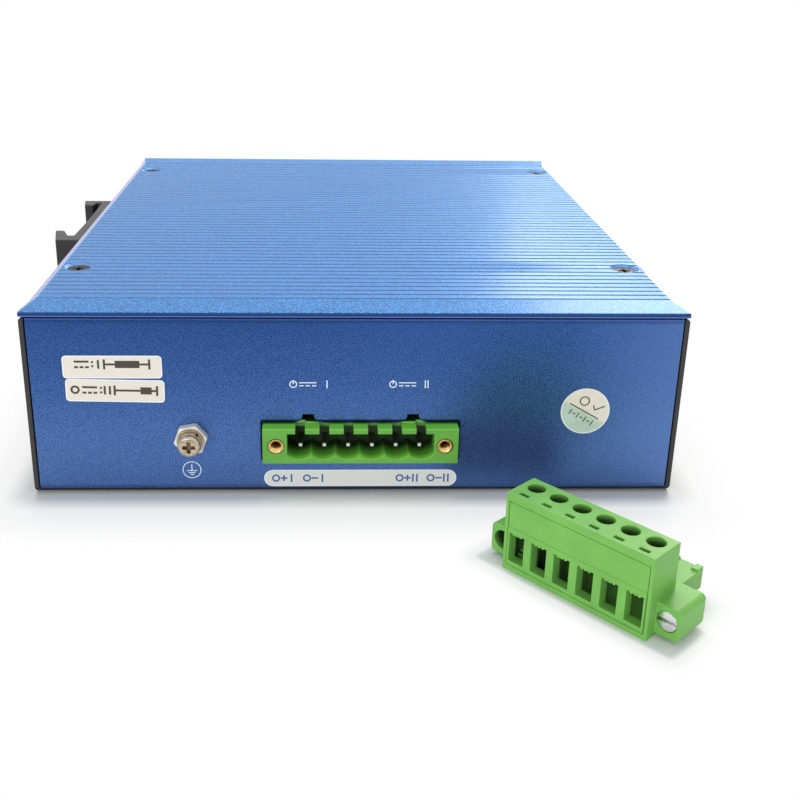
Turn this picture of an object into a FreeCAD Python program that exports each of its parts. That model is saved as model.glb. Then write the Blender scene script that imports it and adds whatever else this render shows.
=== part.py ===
import FreeCAD, Part
import math
import os

# Power over ethernet switch for a mounting rail, lying on its side, with its pluggable power
# connector taken off and standing in front of it. Millimetres. The origin is the middle of the
# underside, +X points to the port side, +Y away from the power end, +Z up.

V = FreeCAD.Vector

# Casing
body_width = 137.0          # rear plate to front plate, along X
body_length = 160.0         # power end to far end, along Y
body_height = 41.3          # underside to the top of the cover
sheet = 1.5                 # folded tray
fold_radius = 1.0           # inside of the tray's folds
plate = 1.0                 # front and rear plates
plate_gap = 0.3             # seam between a plate and the end panels
plate_edge_radius = 0.7     # rounded top edge of a plate
cut_over = 1.0              # how far cutting shapes run past the faces they cut

# Ribbed cover
cover_thickness = 3.0
cover_lip = 1.0             # rim that lies over the panels and plates
cover_seam = 0.3            # shadow gap under the rim
nest_gap = 0.25             # cover block inside the panels and plates
side_chamfer = 1.6          # bright edge along both long sides, seen from above
side_chamfer_drop = 0.7
end_chamfer = 0.3
plain_band = 9.3            # smooth band at each end, up to the first groove
groove_pitch = 2.77
groove_width = 0.65
groove_root = 0.35          # width at the bottom of a groove
groove_depth = 0.6

# Casing screws and the tapped blocks that they go into
screw_radius = 1.5
screw_head_radius = 2.75
screw_head_height = 1.25
screw_fit = 0.05            # radial room round every screw shank
cover_screw_sink = 0.6      # head below the cover's face
cover_screw_inset = 5.3     # from the long edges
cover_screw_near = 32.0     # from the power end
cover_screw_far = 19.0      # from the far end
base_screw_end = 25.0       # from both ends
base_screw_sink = 0.1
tap_block_width = 8.0
cover_block_height = 3.0
block_board_gap = 0.6       # base blocks stay this far under the board
recess_depth = 0.8          # cross recess in the screw heads
recess_width = 0.8

# Circuit board
standoff_height = 5.4
standoff_across = 5.5       # hexagon across flats
board_thickness = 1.6
board_gap = 1.0             # board edge to plates and panels
standoff_inset = 11.5       # rear standoffs from the rear plate
standoff_near = 20.0        # first row from the power end
standoff_far = 14.0         # last row from the far end
board_screw_head = 1.6
board_screw_length = 4.0    # under the head

# Power connector on the board
poles = 6
pole_pitch = 5.08
header_centre = 0.9         # X of the middle of the connector
header_height = 8.0
header_depth = 12.0
header_proud = 2.5          # in front of the panel
header_flange = 5.15
cavity_play = 0.4           # cavity wider than its poles
cavity_depth = 8.6
cavity_floor = 0.9          # wall under the scallops
scallop_rise = 1.0
cavity_roof = 1.2
roof_slot_width = 2.05
roof_slot_depth = 4.0
pin_side = 1.0
pin_rise = 2.6              # pin axis above the board
pin_recess = 3.5            # tip behind the connector's face
pin_tail = 1.5              # below the board
pin_leg_gap = 0.2           # bent leg behind the housing
insert_offset = 17.78       # brass inserts from the middle
insert_radius = 1.75
insert_bore = 1.05
insert_length = 7.0
latch_offset = 11.05        # the two latch ridges from the middle
latch_width = 5.0
latch_height = 0.5
latch_start = 3.2           # behind the connector's face
latch_length = 6.0
window_gap = 0.3            # panel window round the connector
notch_width = 2.5
notch_rise = 2.0            # notch above the window
notch_flare = 0.9

# Earth terminal
earth_x = -34.7
earth_z = 13.5
earth_nut_across = 6.3
earth_nut_height = 2.0
earth_nut_turn = 10.0
earth_washer_radius = 2.7
earth_washer_height = 0.5
earth_ring_height = 0.8     # spring washer
earth_ring_radius = 2.45
earth_ring_split = 0.5
earth_head_radius = 2.4
earth_head_height = 1.8
earth_inside = 4.0          # shank behind the panel

# Network jacks, stacked in pairs
jack_count = 4
jack_pitch = 16.0
jack_gap = 0.2              # between neighbours
jack_cover_gap = 4.2        # jacks under the cover
jack_depth = 28.0
jack_proud = 0.6            # in front of the plate
shield = 0.3
jack_block_gap = 4.0        # first jack behind the near cover screw's block
port_width = 11.8
port_height = 6.8
port_depth = 13.5
port_level = 6.9            # port middle from the top and bottom of the jack
latch_slot_width = 6.2
latch_slot_height = 1.5
tab_slot_width = 3.3
tab_slot_height = 1.1
contact_count = 8
contact_pitch = 1.02
contact_width = 0.45
contact_thickness = 0.3
contact_start = 3.0         # behind the jack's face
contact_run = 9.0
contact_drop = 2.0

# Fibre cages, two stacked
cage_gap = 8.0              # behind the last jack
cage_width = 14.6
cage_depth = 46.0
cage_wall = 0.4
bay_height = 8.8
cage_middle = 3.6           # web between the bays
socket_depth = 9.0
socket_width = 11.0
socket_height = 5.4
socket_slot = 1.4
socket_reach = 6.0

# Indicator lamps
lamp_columns = 6
lamp_pitch = 3.0
lamp_radius = 1.0
lamp_proud = 0.3
lamp_fit = 0.1
lamp_block_depth = 6.0
lamp_block_margin = 1.4
lamp_block_back = 0.5       # behind the front plate
lamp_low = 4.0              # lower row above the board
lamp_row_pitch = 8.0

# Window round the jacks and cages in the front plate
port_window_gap = 0.25

# Parts on the board, each X taken from the board's rear edge
chip_side = 20.0
chip_height = 1.8
chip_inset = 74.5
chip_y = -12.0
sink_side = 32.0
sink_base = 3.0
sink_height = 14.0
fin_count = 8
fin_thickness = 1.2
controller_side = 10.0
controller_height = 1.2
controller_insets = (24.5, 42.5)
controller_y = 24.0
can_radius = 6.25
can_height = 22.0
can_groove = 0.5
can_insets = (20.5, 35.5, 50.5)
can_y = -44.0
coil_side = 12.5
coil_height = 8.0
coil_corner = 2.5
coil_insets = (68.5, 84.5)
coil_y = -46.0
core_width = 24.0
core_length = 20.0
core_height = 12.0
core_leg = 4.5
core_inset = 30.5
core_y = -16.0
winding_wall = 0.5          # winding inside the core's window

# Rail clip
rail_width = 35.0
rail_play = 0.4
rail_slot = 1.6
clip_y = 13.7
clip_low = 4.6
clip_high = 36.6
clip_base = 6.0
clip_reach = 12.0
clip_wall = 4.8
clip_shoulder = 9.8         # where the long hook's slanted outer face starts
hook_overhang = 5.0         # of the long hook, which springs
hook_thickness = 2.4        # at a hook's tip
short_reach = 11.5          # outer end of the short hook, which is fixed
short_drop = 1.1            # the short hook's tip is this much lower
short_wall = 2.6
short_overhang = 3.2
valley_depth = 0.3
clip_screw_offset = 9.0
clip_screw_head = 1.7
clip_bore_depth = 3.0
clip_head_room = 0.3
clip_screw_inside = 2.0     # shank behind the rear plate

# Pluggable connector, in its own frame: X along its poles, Y from the wire side to the mating side
plug_x = 37.8
plug_y = -120.2
plug_turn = 47.9
plug_height = 16.2
plug_margin = 0.45          # body past the outer poles
plug_tower_depth = 8.2      # tall part with the clamp screws
plug_shoulder = 10.6        # where the mating part starts
plug_flange_front = 2.4
plug_flange_low = 0.8
plug_flange_height = 6.2
plug_flange_radius = 1.0
mate_play = 0.2             # mating part inside the cavity
mate_lug_height = 0.45      # lugs on top of the mating end, one between each two poles
mate_lug_length = 2.0
mate_lug_width = 1.0
mate_end_lug = 1.4          # width of the lug at each end
driver_hole_radius = 1.7
driver_hole_y = 5.2
driver_hole_floor = 9.4
probe_slot_width = 1.95
probe_slot_depth = 0.9
probe_slot_y = 1.5
probe_slot_down = 1.6
face_margin = 0.7           # housing rim round the wire face
face_low = 1.1
face_high = 14.5
face_thickness = 2.2
face_sink = 0.15
face_fit = 0.12
face_ledge_z = 9.2
face_ledge = 0.15           # lower half stands this much prouder
wire_width = 3.4
wire_low = 2.1
wire_height = 6.0
wire_tooth = 0.35
chamber_width = 4.3
chamber_back = 8.4
clamp_fit = 0.08
clamp_wall = 0.7
clamp_height = 6.6
clamp_depth = 5.0
clamp_head_radius = 1.5
clamp_head_height = 1.5
clamp_screw_radius = 1.2
fork_width = 1.9
fork_height = 2.2
fork_fit = 0.1
fork_slit = 1.12
fork_inset = 0.8            # mouth behind the mating face
flange_screw_head_radius = 1.9
flange_screw_head_height = 1.6
flange_bore_depth = 6.0     # room in which the captive screws slide
flange_screw_sinks = (4.2, 0.2)   # left one slid back, right one forward
flange_screw_length = 7.0   # under the head
flange_screw_slot = 0.6

# Derived sizes
half_x = body_width / 2
half_y = body_length / 2
panel_half = half_x - plate - plate_gap
panel_top = body_height - cover_lip - cover_seam
cover_under = body_height - cover_thickness
plate_inner = half_x - plate
screw_x = half_x - cover_screw_inset
cover_screw_y = (-half_y + cover_screw_near, half_y - cover_screw_far)
base_screw_y = (-half_y + base_screw_end, half_y - base_screw_end)
board_low = sheet + standoff_height
board_top = board_low + board_thickness
board_rear = -plate_inner + board_gap
chip_x = board_rear + chip_inset
controller_x = [board_rear + inset for inset in controller_insets]
can_x = [board_rear + inset for inset in can_insets]
coil_x = [board_rear + inset for inset in coil_insets]
core_x = board_rear + core_inset
base_block_height = standoff_height - block_board_gap
tap_block_depth = 2 * (cover_screw_inset - plate)
bore_radius = screw_radius + screw_fit
pole_span = poles * pole_pitch
cavity_width = pole_span + cavity_play
header_width = cavity_width + 2 * header_flange
header_front = -half_y - header_proud
header_back = header_front + header_depth
header_top = board_top + header_height
pin_leg_y = header_back + pin_leg_gap
pin_z = board_top + pin_rise
insert_z = board_top + header_height / 2
cavity_low = board_top + cavity_floor
cavity_high = header_top - cavity_roof
pole_places = [(i - (poles - 1) / 2) * pole_pitch for i in range(poles)]
jack_front = half_x + jack_proud
jack_back = jack_front - jack_depth
jack_start = cover_screw_y[0] + tap_block_width / 2 + jack_block_gap
jack_end = jack_start + jack_count * jack_pitch
jack_top = cover_under - jack_cover_gap
cage_start = jack_end + cage_gap
cage_end = cage_start + cage_width
cage_height = 2 * cage_wall + 2 * bay_height + cage_middle
cage_top = board_top + cage_height
lamp_block_length = (lamp_columns - 1) * lamp_pitch + 2 * lamp_block_margin
lamp_middle_y = cover_screw_y[0] - tap_block_width / 2 - jack_block_gap - lamp_block_length / 2
lamp_rows = (board_top + lamp_low, board_top + lamp_low + lamp_row_pitch)
lamp_face = plate_inner - lamp_block_back
clip_face = -half_x
clip_half = rail_width / 2 + rail_play / 2 + clip_wall
clip_middle_z = (clip_low + clip_high) / 2
plug_half = pole_span / 2 + plug_margin
plug_depth = plug_shoulder + cavity_depth - mate_play
plug_flange_half = header_width / 2 - mate_play
plug_axis_z = plug_flange_low + plug_flange_height / 2
plug_pin_z = plug_axis_z + pin_z - insert_z
clamp_low = wire_low - clamp_wall
clamp_back = face_thickness + clamp_depth
mate_half = cavity_width / 2 - mate_play
mate_top = plug_axis_z + cavity_high - insert_z - mate_play
mate_flat = mate_top - mate_lug_height
mate_low = plug_axis_z + cavity_low - insert_z + mate_play


def block(x0, x1, y0, y1, z0, z1):
    return Part.makeBox(x1 - x0, y1 - y0, z1 - z0, V(x0, y0, z0))


def rod(radius, start, end):
    way = end - start
    return Part.makeCylinder(radius, way.Length, start, way)


def prism(points, way):
    return Part.Face(Part.makePolygon(points + points[:1])).extrude(way)


def hexagon(across, start, end, turn=0.0):
    """Hexagonal bar between two points, across flats, turned about its axis by so many degrees."""
    way = end - start
    corners = []
    for i in range(6):
        angle = math.radians(60 * i)
        corners.append(V(math.cos(angle), math.sin(angle), 0) * (across / math.sqrt(3)))
    bar = prism(corners, V(0, 0, way.Length))
    bar.rotate(V(0, 0, 0), V(0, 0, 1), turn)
    bar.Placement = FreeCAD.Placement(start, FreeCAD.Rotation(V(0, 0, 1), way)) * bar.Placement
    return bar


def lies_along(edge, way):
    if len(edge.Vertexes) < 2:
        return False
    run = edge.Vertexes[1].Point - edge.Vertexes[0].Point
    return abs(run.dot(way)) > 0.999 * edge.Length


def rounded(shape, radius, way, chosen=lambda middle: True):
    """Round the straight edges that run one way and whose middle is among the chosen ones."""
    edges = [e for e in shape.Edges if lies_along(e, way) and chosen(e.CenterOfMass)]
    return shape.makeFillet(radius, edges)


def merged(first, *others):
    return first.fuse(list(others)).removeSplitter()


def group(solids):
    return Part.makeCompound(solids)


def cross_recess(top, way, depth):
    """Cutter for a cross recess: two bars across the axis, sunk from the head's top."""
    span = 3.2 * recess_width
    bars = []
    for turn in (0.0, 90.0):
        bar = block(-span / 2, span / 2, -recess_width / 2, recess_width / 2, 0, depth)
        bar.rotate(V(0, 0, 0), V(0, 0, 1), turn)
        bar.Placement = FreeCAD.Placement(top, FreeCAD.Rotation(V(0, 0, 1), way)) * bar.Placement
        bars.append(bar)
    return bars[0].fuse(bars[1])


def sunk_screw(top, way, length):
    """Countersunk screw: its head's flat top at one point, its shank along the way given."""
    head = Part.makeCone(screw_head_radius, screw_radius, screw_head_height, top, way)
    shank = rod(screw_radius, top + way * screw_head_height, top + way * length)
    return merged(head, shank).cut(cross_recess(top, way, recess_depth))


def sink_hole(top, way, sink, through):
    """Cutter for a countersunk hole whose screw head lies a given depth below the face."""
    mouth = screw_head_radius + sink
    flare = Part.makeCone(mouth, screw_radius, sink + screw_head_height, top, way)
    return merged(flare, rod(bore_radius, top, top + way * through))


def corner_places(across, ys):
    return [(side * across, y) for side in (-1, 1) for y in ys]


def make_base_tray():
    tray = block(-half_x, half_x, -half_y, half_y, 0, panel_top)
    tray = rounded(tray, fold_radius + sheet, V(1, 0, 0), lambda m: m.z < sheet)
    inside = block(-half_x - cut_over, half_x + cut_over, -half_y + sheet, half_y - sheet,
                   sheet, panel_top + cut_over)
    inside = rounded(inside, fold_radius, V(1, 0, 0), lambda m: m.z < sheet + cut_over)
    cuts = [inside]
    for side in (-1, 1):
        edges = sorted((side * panel_half, side * (half_x + cut_over)))
        cuts.append(block(*edges, -half_y - cut_over, half_y + cut_over, sheet, panel_top + cut_over))
    cuts.append(header_window())
    cuts.append(rod(bore_radius, earth_point(cut_over), earth_point(-sheet - cut_over)))
    for x, y in corner_places(screw_x, base_screw_y):
        cuts.append(sink_hole(V(x, y, 0), V(0, 0, 1), base_screw_sink, sheet + cut_over))
    return tray.cut(cuts)


def header_window():
    """Cutter for the panel window: the connector's outline, with two flared notches on top."""
    left = header_centre - header_width / 2 - window_gap
    right = header_centre + header_width / 2 + window_gap
    top = header_top + window_gap
    front = -half_y - cut_over
    back = -half_y + sheet + cut_over
    window = block(left, right, front, back, board_top - window_gap, top)
    notches = []
    for side in (-1, 1):
        x = header_centre + side * latch_offset
        wide = latch_width / 2 + notch_flare
        slim = notch_width / 2
        outline = [(-wide, 0), (-slim - notch_flare / 2, latch_height), (-slim, latch_height + notch_flare),
                   (-slim, notch_rise), (slim, notch_rise), (slim, latch_height + notch_flare),
                   (slim + notch_flare / 2, latch_height), (wide, 0),
                   (wide, -window_gap), (-wide, -window_gap)]
        points = [V(x + px, front, top + pz) for px, pz in outline]
        notches.append(prism(points, V(0, back - front, 0)))
    return merged(window, *notches)


def make_ribbed_cover():
    rim = block(-half_x, half_x, -half_y, half_y, body_height - cover_lip, body_height)
    nest_x = plate_inner - nest_gap
    nest_y = half_y - sheet - nest_gap
    core = block(-nest_x, nest_x, -nest_y, nest_y, cover_under, body_height)
    cuts = [cover_groove(y) for y in groove_places()]
    for side in (-1, 1):
        cuts.append(side_wedge(side))
        short_edge = [V(-half_x - cut_over, side * half_y, body_height - end_chamfer),
                      V(-half_x - cut_over, side * half_y, body_height + cut_over),
                      V(-half_x - cut_over, side * (half_y - end_chamfer), body_height)]
        cuts.append(prism(short_edge, V(body_width + 2 * cut_over, 0, 0)))
    for x, y in corner_places(screw_x, cover_screw_y):
        mouth = V(x, y, body_height)
        cuts.append(sink_hole(mouth, V(0, 0, -1), cover_screw_sink, cover_thickness + cut_over))
    return merged(rim, core).cut(cuts)


def side_wedge(side):
    """What the chamfer takes off one long edge; it runs out to nothing along the plain bands."""
    edge = side * half_x
    section = [V(edge - side * side_chamfer, 0, body_height), V(edge, 0, body_height - side_chamfer_drop),
               V(edge + side * cut_over, 0, body_height + cut_over)]
    near = [p + V(0, plain_band - half_y, 0) for p in section]
    far = [p + V(0, half_y - plain_band, 0) for p in section]
    near_tip, far_tip = V(edge, -half_y, body_height), V(edge, half_y, body_height)
    faces = []
    for i in range(3):
        k = (i + 1) % 3
        faces += [[near_tip, near[i], near[k]], [near[i], far[i], far[k], near[k]], [far_tip, far[k], far[i]]]
    wedge = Part.Solid(Part.Shell([Part.Face(Part.makePolygon(points + points[:1])) for points in faces]))
    if wedge.Volume < 0:
        wedge.reverse()
    return wedge


def groove_places():
    count = int((body_length - 2 * plain_band) / groove_pitch) + 1
    return [(i - (count - 1) / 2) * groove_pitch for i in range(count)]


def cover_groove(y):
    wide = groove_width / 2
    root = groove_root / 2
    floor = body_height - groove_depth
    points = [V(-half_x - cut_over, y - wide, body_height), V(-half_x - cut_over, y - root, floor),
              V(-half_x - cut_over, y + root, floor), V(-half_x - cut_over, y + wide, body_height)]
    return prism(points, V(body_width + 2 * cut_over, 0, 0))


def side_plate(side):
    """Flat plate on the tray's floor, under the cover's rim, with its top edge rounded."""
    faces = sorted((side * plate_inner, side * half_x))
    wall = block(*faces, -half_y, half_y, sheet, panel_top)
    return rounded(wall, plate_edge_radius, V(0, 1, 0),
                   lambda m: m.z > body_height / 2 and side * m.x > plate_inner + plate / 2)


def make_front_plate():
    wall = side_plate(1)
    gap = port_window_gap
    inner, outer = plate_inner - cut_over, half_x + cut_over
    low = board_top - gap
    cuts = [block(inner, outer, jack_start - gap, jack_end + gap, low, jack_top + gap),
            block(inner, outer, cage_start - gap, cage_end + gap, low, cage_top + gap)]
    for y, z in lamp_places():
        cuts.append(rod(lamp_radius + lamp_fit, V(inner, y, z), V(outer, y, z)))
    return wall.cut(cuts)


def make_rear_plate():
    wall = side_plate(-1)
    cuts = []
    for y in clip_screw_places():
        cuts.append(rod(bore_radius, V(-half_x - cut_over, y, clip_middle_z),
                        V(-plate_inner + cut_over, y, clip_middle_z)))
    return wall.cut(cuts)


def tap_block(x, y, low, high):
    side = 1 if x > 0 else -1
    faces = sorted((side * plate_inner, side * (plate_inner - tap_block_depth)))
    body = block(*faces, y - tap_block_width / 2, y + tap_block_width / 2, low, high)
    return body.cut(rod(bore_radius, V(x, y, low - cut_over), V(x, y, high + cut_over)))


def make_cover_blocks():
    places = corner_places(screw_x, cover_screw_y)
    return group([tap_block(x, y, cover_under - cover_block_height, cover_under) for x, y in places])


def make_base_blocks():
    places = corner_places(screw_x, base_screw_y)
    return group([tap_block(x, y, sheet, sheet + base_block_height) for x, y in places])


def make_cover_screws():
    length = cover_thickness - cover_screw_sink + cover_block_height
    top = body_height - cover_screw_sink
    return group([sunk_screw(V(x, y, top), V(0, 0, -1), length)
                  for x, y in corner_places(screw_x, cover_screw_y)])


def make_base_screws():
    length = sheet - base_screw_sink + base_block_height
    return group([sunk_screw(V(x, y, base_screw_sink), V(0, 0, 1), length)
                  for x, y in corner_places(screw_x, base_screw_y)])


def standoff_places():
    rear = -plate_inner + standoff_inset
    front = jack_back - standoff_inset / 2
    rows = (-half_y + standoff_near, (jack_start + jack_end) / 2 + jack_pitch, half_y - standoff_far)
    return [(x, y) for x in (rear, front) for y in rows]


def make_board_standoffs():
    posts = []
    for x, y in standoff_places():
        post = hexagon(standoff_across, V(x, y, sheet), V(x, y, board_low))
        posts.append(post.cut(rod(bore_radius, V(x, y, sheet), V(x, y, board_low + cut_over))))
    return group(posts)


def make_board_screws():
    screws = []
    for x, y in standoff_places():
        top = V(x, y, board_top + board_screw_head)
        head = rod(screw_head_radius, V(x, y, board_top), top)
        head = rounded_head(head, board_screw_head / 2, V(0, 0, 1))
        shank = rod(screw_radius, V(x, y, board_top - board_screw_length), V(x, y, board_top))
        screws.append(merged(head, shank).cut(cross_recess(top, V(0, 0, -1), recess_depth)))
    return group(screws)


def rounded_head(head, radius, way):
    """Round the edge round the end of a screw head that faces the way given."""
    ends = [e.CenterOfMass.dot(way) for e in head.Edges if not e.isSeam(head.Faces[0])]
    far = max(ends)
    rim = [e for e in head.Edges if len(e.Vertexes) == 1 and e.CenterOfMass.dot(way) > far - radius / 2]
    return head.makeFillet(radius, rim)


def make_main_board():
    x = plate_inner - board_gap
    y = half_y - sheet - board_gap
    board = block(-x, x, -y, y, board_low, board_top)
    holes = [rod(bore_radius, V(px, py, board_low - cut_over), V(px, py, board_top + cut_over))
             for px, py in standoff_places()]
    leg = pin_leg_y + pin_side / 2
    for place in pole_places:
        px = header_centre + place
        holes.append(rod(pin_side * 0.75, V(px, leg, board_low - cut_over), V(px, leg, board_top + cut_over)))
    return board.cut(holes)


def scalloped(half, low, rise, top, y, depth):
    """Bar along Y with a flat top and one shallow arc under each pole."""
    step = 2 * half / poles
    edges = [Part.makeLine(V(-half, y, low + rise), V(-half, y, top)),
             Part.makeLine(V(-half, y, top), V(half, y, top)),
             Part.makeLine(V(half, y, top), V(half, y, low + rise))]
    for i in range(poles):
        start = half - i * step
        arc = Part.Arc(V(start, y, low + rise), V(start - step / 2, y, low), V(start - step, y, low + rise))
        edges.append(arc.toShape())
    return Part.Face(Part.Wire(edges)).extrude(V(0, depth, 0))


def make_power_header():
    left, right = header_centre - header_width / 2, header_centre + header_width / 2
    body = block(left, right, header_front, header_back, board_top, header_top)
    ridges = []
    for side in (-1, 1):
        x = header_centre + side * latch_offset
        outline = [V(x - latch_width / 2, header_front + latch_start, header_top),
                   V(x - notch_width / 2, header_front + latch_start, header_top + latch_height),
                   V(x + notch_width / 2, header_front + latch_start, header_top + latch_height),
                   V(x + latch_width / 2, header_front + latch_start, header_top)]
        ridges.append(prism(outline, V(0, latch_length, 0)))
    cavity = scalloped(cavity_width / 2, cavity_low, scallop_rise, cavity_high, header_front, cavity_depth)
    cavity.translate(V(header_centre, 0, 0))
    cuts = [cavity]
    for place in pole_places:
        x = header_centre + place
        cuts.append(block(x - roof_slot_width / 2, x + roof_slot_width / 2, header_front,
                          header_front + roof_slot_depth, cavity_high - cut_over / 2, header_top + cut_over))
        cuts.append(block(x - pin_side / 2, x + pin_side / 2, header_front, header_back,
                          pin_z - pin_side / 2, pin_z + pin_side / 2))
    for side in (-1, 1):
        start = V(header_centre + side * insert_offset, header_front, insert_z)
        cuts.append(rod(insert_radius, start, start + V(0, insert_length, 0)))
    return merged(body, *ridges).cut(cuts)


def make_header_pins():
    pins = []
    tip = header_front + pin_recess
    for place in pole_places:
        x = header_centre + place
        side = pin_side / 2
        bar = block(x - side, x + side, tip, pin_leg_y + pin_side, pin_z - side, pin_z + side)
        leg = block(x - side, x + side, pin_leg_y, pin_leg_y + pin_side, board_low - pin_tail, pin_z + side)
        pin = merged(bar, leg)
        tip_edges = [e for e in pin.Edges if e.BoundBox.YMax < tip + side / 2]
        pins.append(pin.makeChamfer(side / 2, tip_edges))
    return group(pins)


def make_header_inserts():
    tubes = []
    for side in (-1, 1):
        start = V(header_centre + side * insert_offset, header_front, insert_z)
        end = start + V(0, insert_length, 0)
        tubes.append(rod(insert_radius, start, end).cut(rod(insert_bore, start, end)))
    return group(tubes)


def earth_point(height):
    """Point on the earth screw's axis, so far in front of the panel."""
    return V(earth_x, -half_y - height, earth_z)


def make_earth_nut():
    nut = hexagon(earth_nut_across, earth_point(0), earth_point(earth_nut_height), earth_nut_turn)
    return nut.cut(rod(bore_radius, earth_point(-cut_over), earth_point(earth_nut_height + cut_over)))


def make_earth_washer():
    low, high = earth_nut_height, earth_nut_height + earth_washer_height
    disc = rod(earth_washer_radius, earth_point(low), earth_point(high))
    return disc.cut(rod(bore_radius, earth_point(low), earth_point(high)))


def make_earth_spring_washer():
    low = earth_nut_height + earth_washer_height
    high = low + earth_ring_height
    ring = rod(earth_ring_radius, earth_point(low), earth_point(high))
    ring = ring.cut(rod(bore_radius, earth_point(low), earth_point(high)))
    split = block(-earth_ring_split / 2, earth_ring_split / 2, -high - cut_over, -low + cut_over,
                  0, earth_ring_radius + cut_over)
    split.rotate(V(0, 0, 0), V(0, 1, 0), 40)
    split.translate(earth_point(0))
    return ring.cut(split)


def make_earth_screw():
    seat = earth_nut_height + earth_washer_height + earth_ring_height
    top = earth_point(seat + earth_head_height)
    head = rod(earth_head_radius, earth_point(seat), top)
    head = rounded_head(head, earth_head_height / 2, V(0, -1, 0))
    shank = rod(screw_radius, earth_point(-earth_inside - sheet), earth_point(seat))
    return merged(head, shank).cut(cross_recess(top, V(0, 1, 0), recess_depth))


def jack_middle(index):
    return jack_start + (index + 0.5) * jack_pitch


def jack_half():
    return (jack_pitch - jack_gap) / 2


def make_jack_shield(index):
    """Folded metal can over a stacked jack, open to the front and to the board."""
    y, half = jack_middle(index), jack_half()
    can = block(jack_back, jack_front, y - half, y + half, board_top, jack_top)
    inside = block(jack_back + shield, jack_front + cut_over, y - half + shield, y + half - shield,
                   board_top - cut_over, jack_top - shield)
    return can.cut(inside)


def port_levels():
    """Middle height of the lower and the upper port, with the way that each one's latch faces."""
    return ((board_top + port_level, -1), (jack_top - port_level, 1))


def make_jack_body(index):
    y, half = jack_middle(index), jack_half() - shield
    body = block(jack_back + shield, jack_front, y - half, y + half, board_top, jack_top - shield)
    back = jack_front - port_depth
    cuts = []
    for z, latch in port_levels():
        edge = z + latch * port_height / 2
        inner = edge - latch * port_height
        slot_end = edge + latch * latch_slot_height
        tab_end = slot_end + latch * tab_slot_height
        for width, end in ((port_width, edge), (latch_slot_width, slot_end), (tab_slot_width, tab_end)):
            low, high = sorted((inner, end))
            cuts.append(block(back, jack_front + cut_over, y - width / 2, y + width / 2, low, high))
    return body.cut(merged(*cuts))


def make_jack_contacts():
    """Sprung contact wires, eight in each port, sloping back from the port's inner wall."""
    wires = []
    for index in range(jack_count):
        for z, latch in port_levels():
            wall = z - latch * port_height / 2
            front = jack_front - contact_start
            back = front - contact_run
            thick = latch * contact_thickness
            drop = latch * contact_drop
            outline = [V(front, 0, wall), V(back, 0, wall + drop), V(back, 0, wall + drop + thick),
                       V(front - contact_thickness, 0, wall + thick), V(front + contact_thickness, 0, wall)]
            for k in range(contact_count):
                wire = prism(outline, V(0, contact_width, 0))
                across = (k - (contact_count - 1) / 2) * contact_pitch
                wire.translate(V(0, jack_middle(index) + across - contact_width / 2, 0))
                wires.append(wire)
    return group(wires)


def bay_levels():
    low = board_top + cage_wall
    return (low, low + bay_height + cage_middle)


def make_fibre_cage():
    cage = block(jack_front - cage_depth, jack_front, cage_start, cage_end, board_top, cage_top)
    bays = [block(jack_front - cage_depth + cage_wall, jack_front + cage_wall, cage_start + cage_wall,
                  cage_end - cage_wall, low, low + bay_height) for low in bay_levels()]
    return cage.cut(bays)


def make_fibre_sockets():
    sockets = []
    back = jack_front - cage_depth + cage_wall
    middle = (cage_start + cage_end) / 2
    for low in bay_levels():
        body = block(back, back + socket_depth, middle - socket_width / 2, middle + socket_width / 2,
                     low, low + socket_height)
        level = low + socket_height / 2
        slot = block(back + socket_depth - socket_reach, back + socket_depth + cut_over,
                     middle - socket_width / 2 + socket_slot, middle + socket_width / 2 - socket_slot,
                     level - socket_slot / 2, level + socket_slot / 2)
        sockets.append(body.cut(slot))
    return group(sockets)


def lamp_places():
    first = lamp_middle_y - (lamp_columns - 1) * lamp_pitch / 2
    return [(first + i * lamp_pitch, z) for z in lamp_rows for i in range(lamp_columns)]


def make_lamp_block():
    half = lamp_block_length / 2
    body = block(lamp_face - lamp_block_depth, lamp_face, lamp_middle_y - half, lamp_middle_y + half,
                 board_top, lamp_rows[1] + lamp_block_margin + lamp_radius)
    return rounded(body, lamp_radius / 2, V(1, 0, 0), lambda m: m.z > lamp_rows[1])


def make_lamps():
    lenses = []
    for y, z in lamp_places():
        lens = rod(lamp_radius, V(lamp_face, y, z), V(half_x + lamp_proud, y, z))
        lenses.append(rounded_head(lens, lamp_proud / 2, V(1, 0, 0)))
    return group(lenses)


def make_switch_chip():
    half = chip_side / 2
    return block(chip_x - half, chip_x + half, chip_y - half, chip_y + half,
                 board_top, board_top + chip_height)


def make_chip_heatsink():
    half = sink_side / 2
    low = board_top + chip_height
    body = block(chip_x - half, chip_x + half, chip_y - half, chip_y + half, low, low + sink_height)
    step = (sink_side - fin_thickness) / (fin_count - 1)
    gaps = []
    for i in range(fin_count - 1):
        start = chip_y - half + fin_thickness + i * step
        gaps.append(block(chip_x - half - cut_over, chip_x + half + cut_over,
                          start, start + step - fin_thickness, low + sink_base, low + sink_height + cut_over))
    return body.cut(gaps)


def make_power_controllers():
    half = controller_side / 2
    return group([block(x - half, x + half, controller_y - half, controller_y + half,
                        board_top, board_top + controller_height) for x in controller_x])


def make_capacitors():
    """Electrolytic cans with the rolled groove near their foot."""
    cans = []
    for x in can_x:
        foot = V(x, can_y, board_top)
        can = rod(can_radius, foot, foot + V(0, 0, can_height))
        can = rounded_head(can, can_groove, V(0, 0, 1))
        groove = Part.makeTorus(can_radius, can_groove, foot + V(0, 0, 4 * can_groove), V(0, 0, 1))
        cans.append(can.cut(groove))
    return group(cans)


def make_power_coils():
    half = coil_side / 2
    coils = []
    for x in coil_x:
        coil = block(x - half, x + half, coil_y - half, coil_y + half, board_top, board_top + coil_height)
        coils.append(rounded(coil, coil_corner, V(0, 0, 1)))
    return group(coils)


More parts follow.
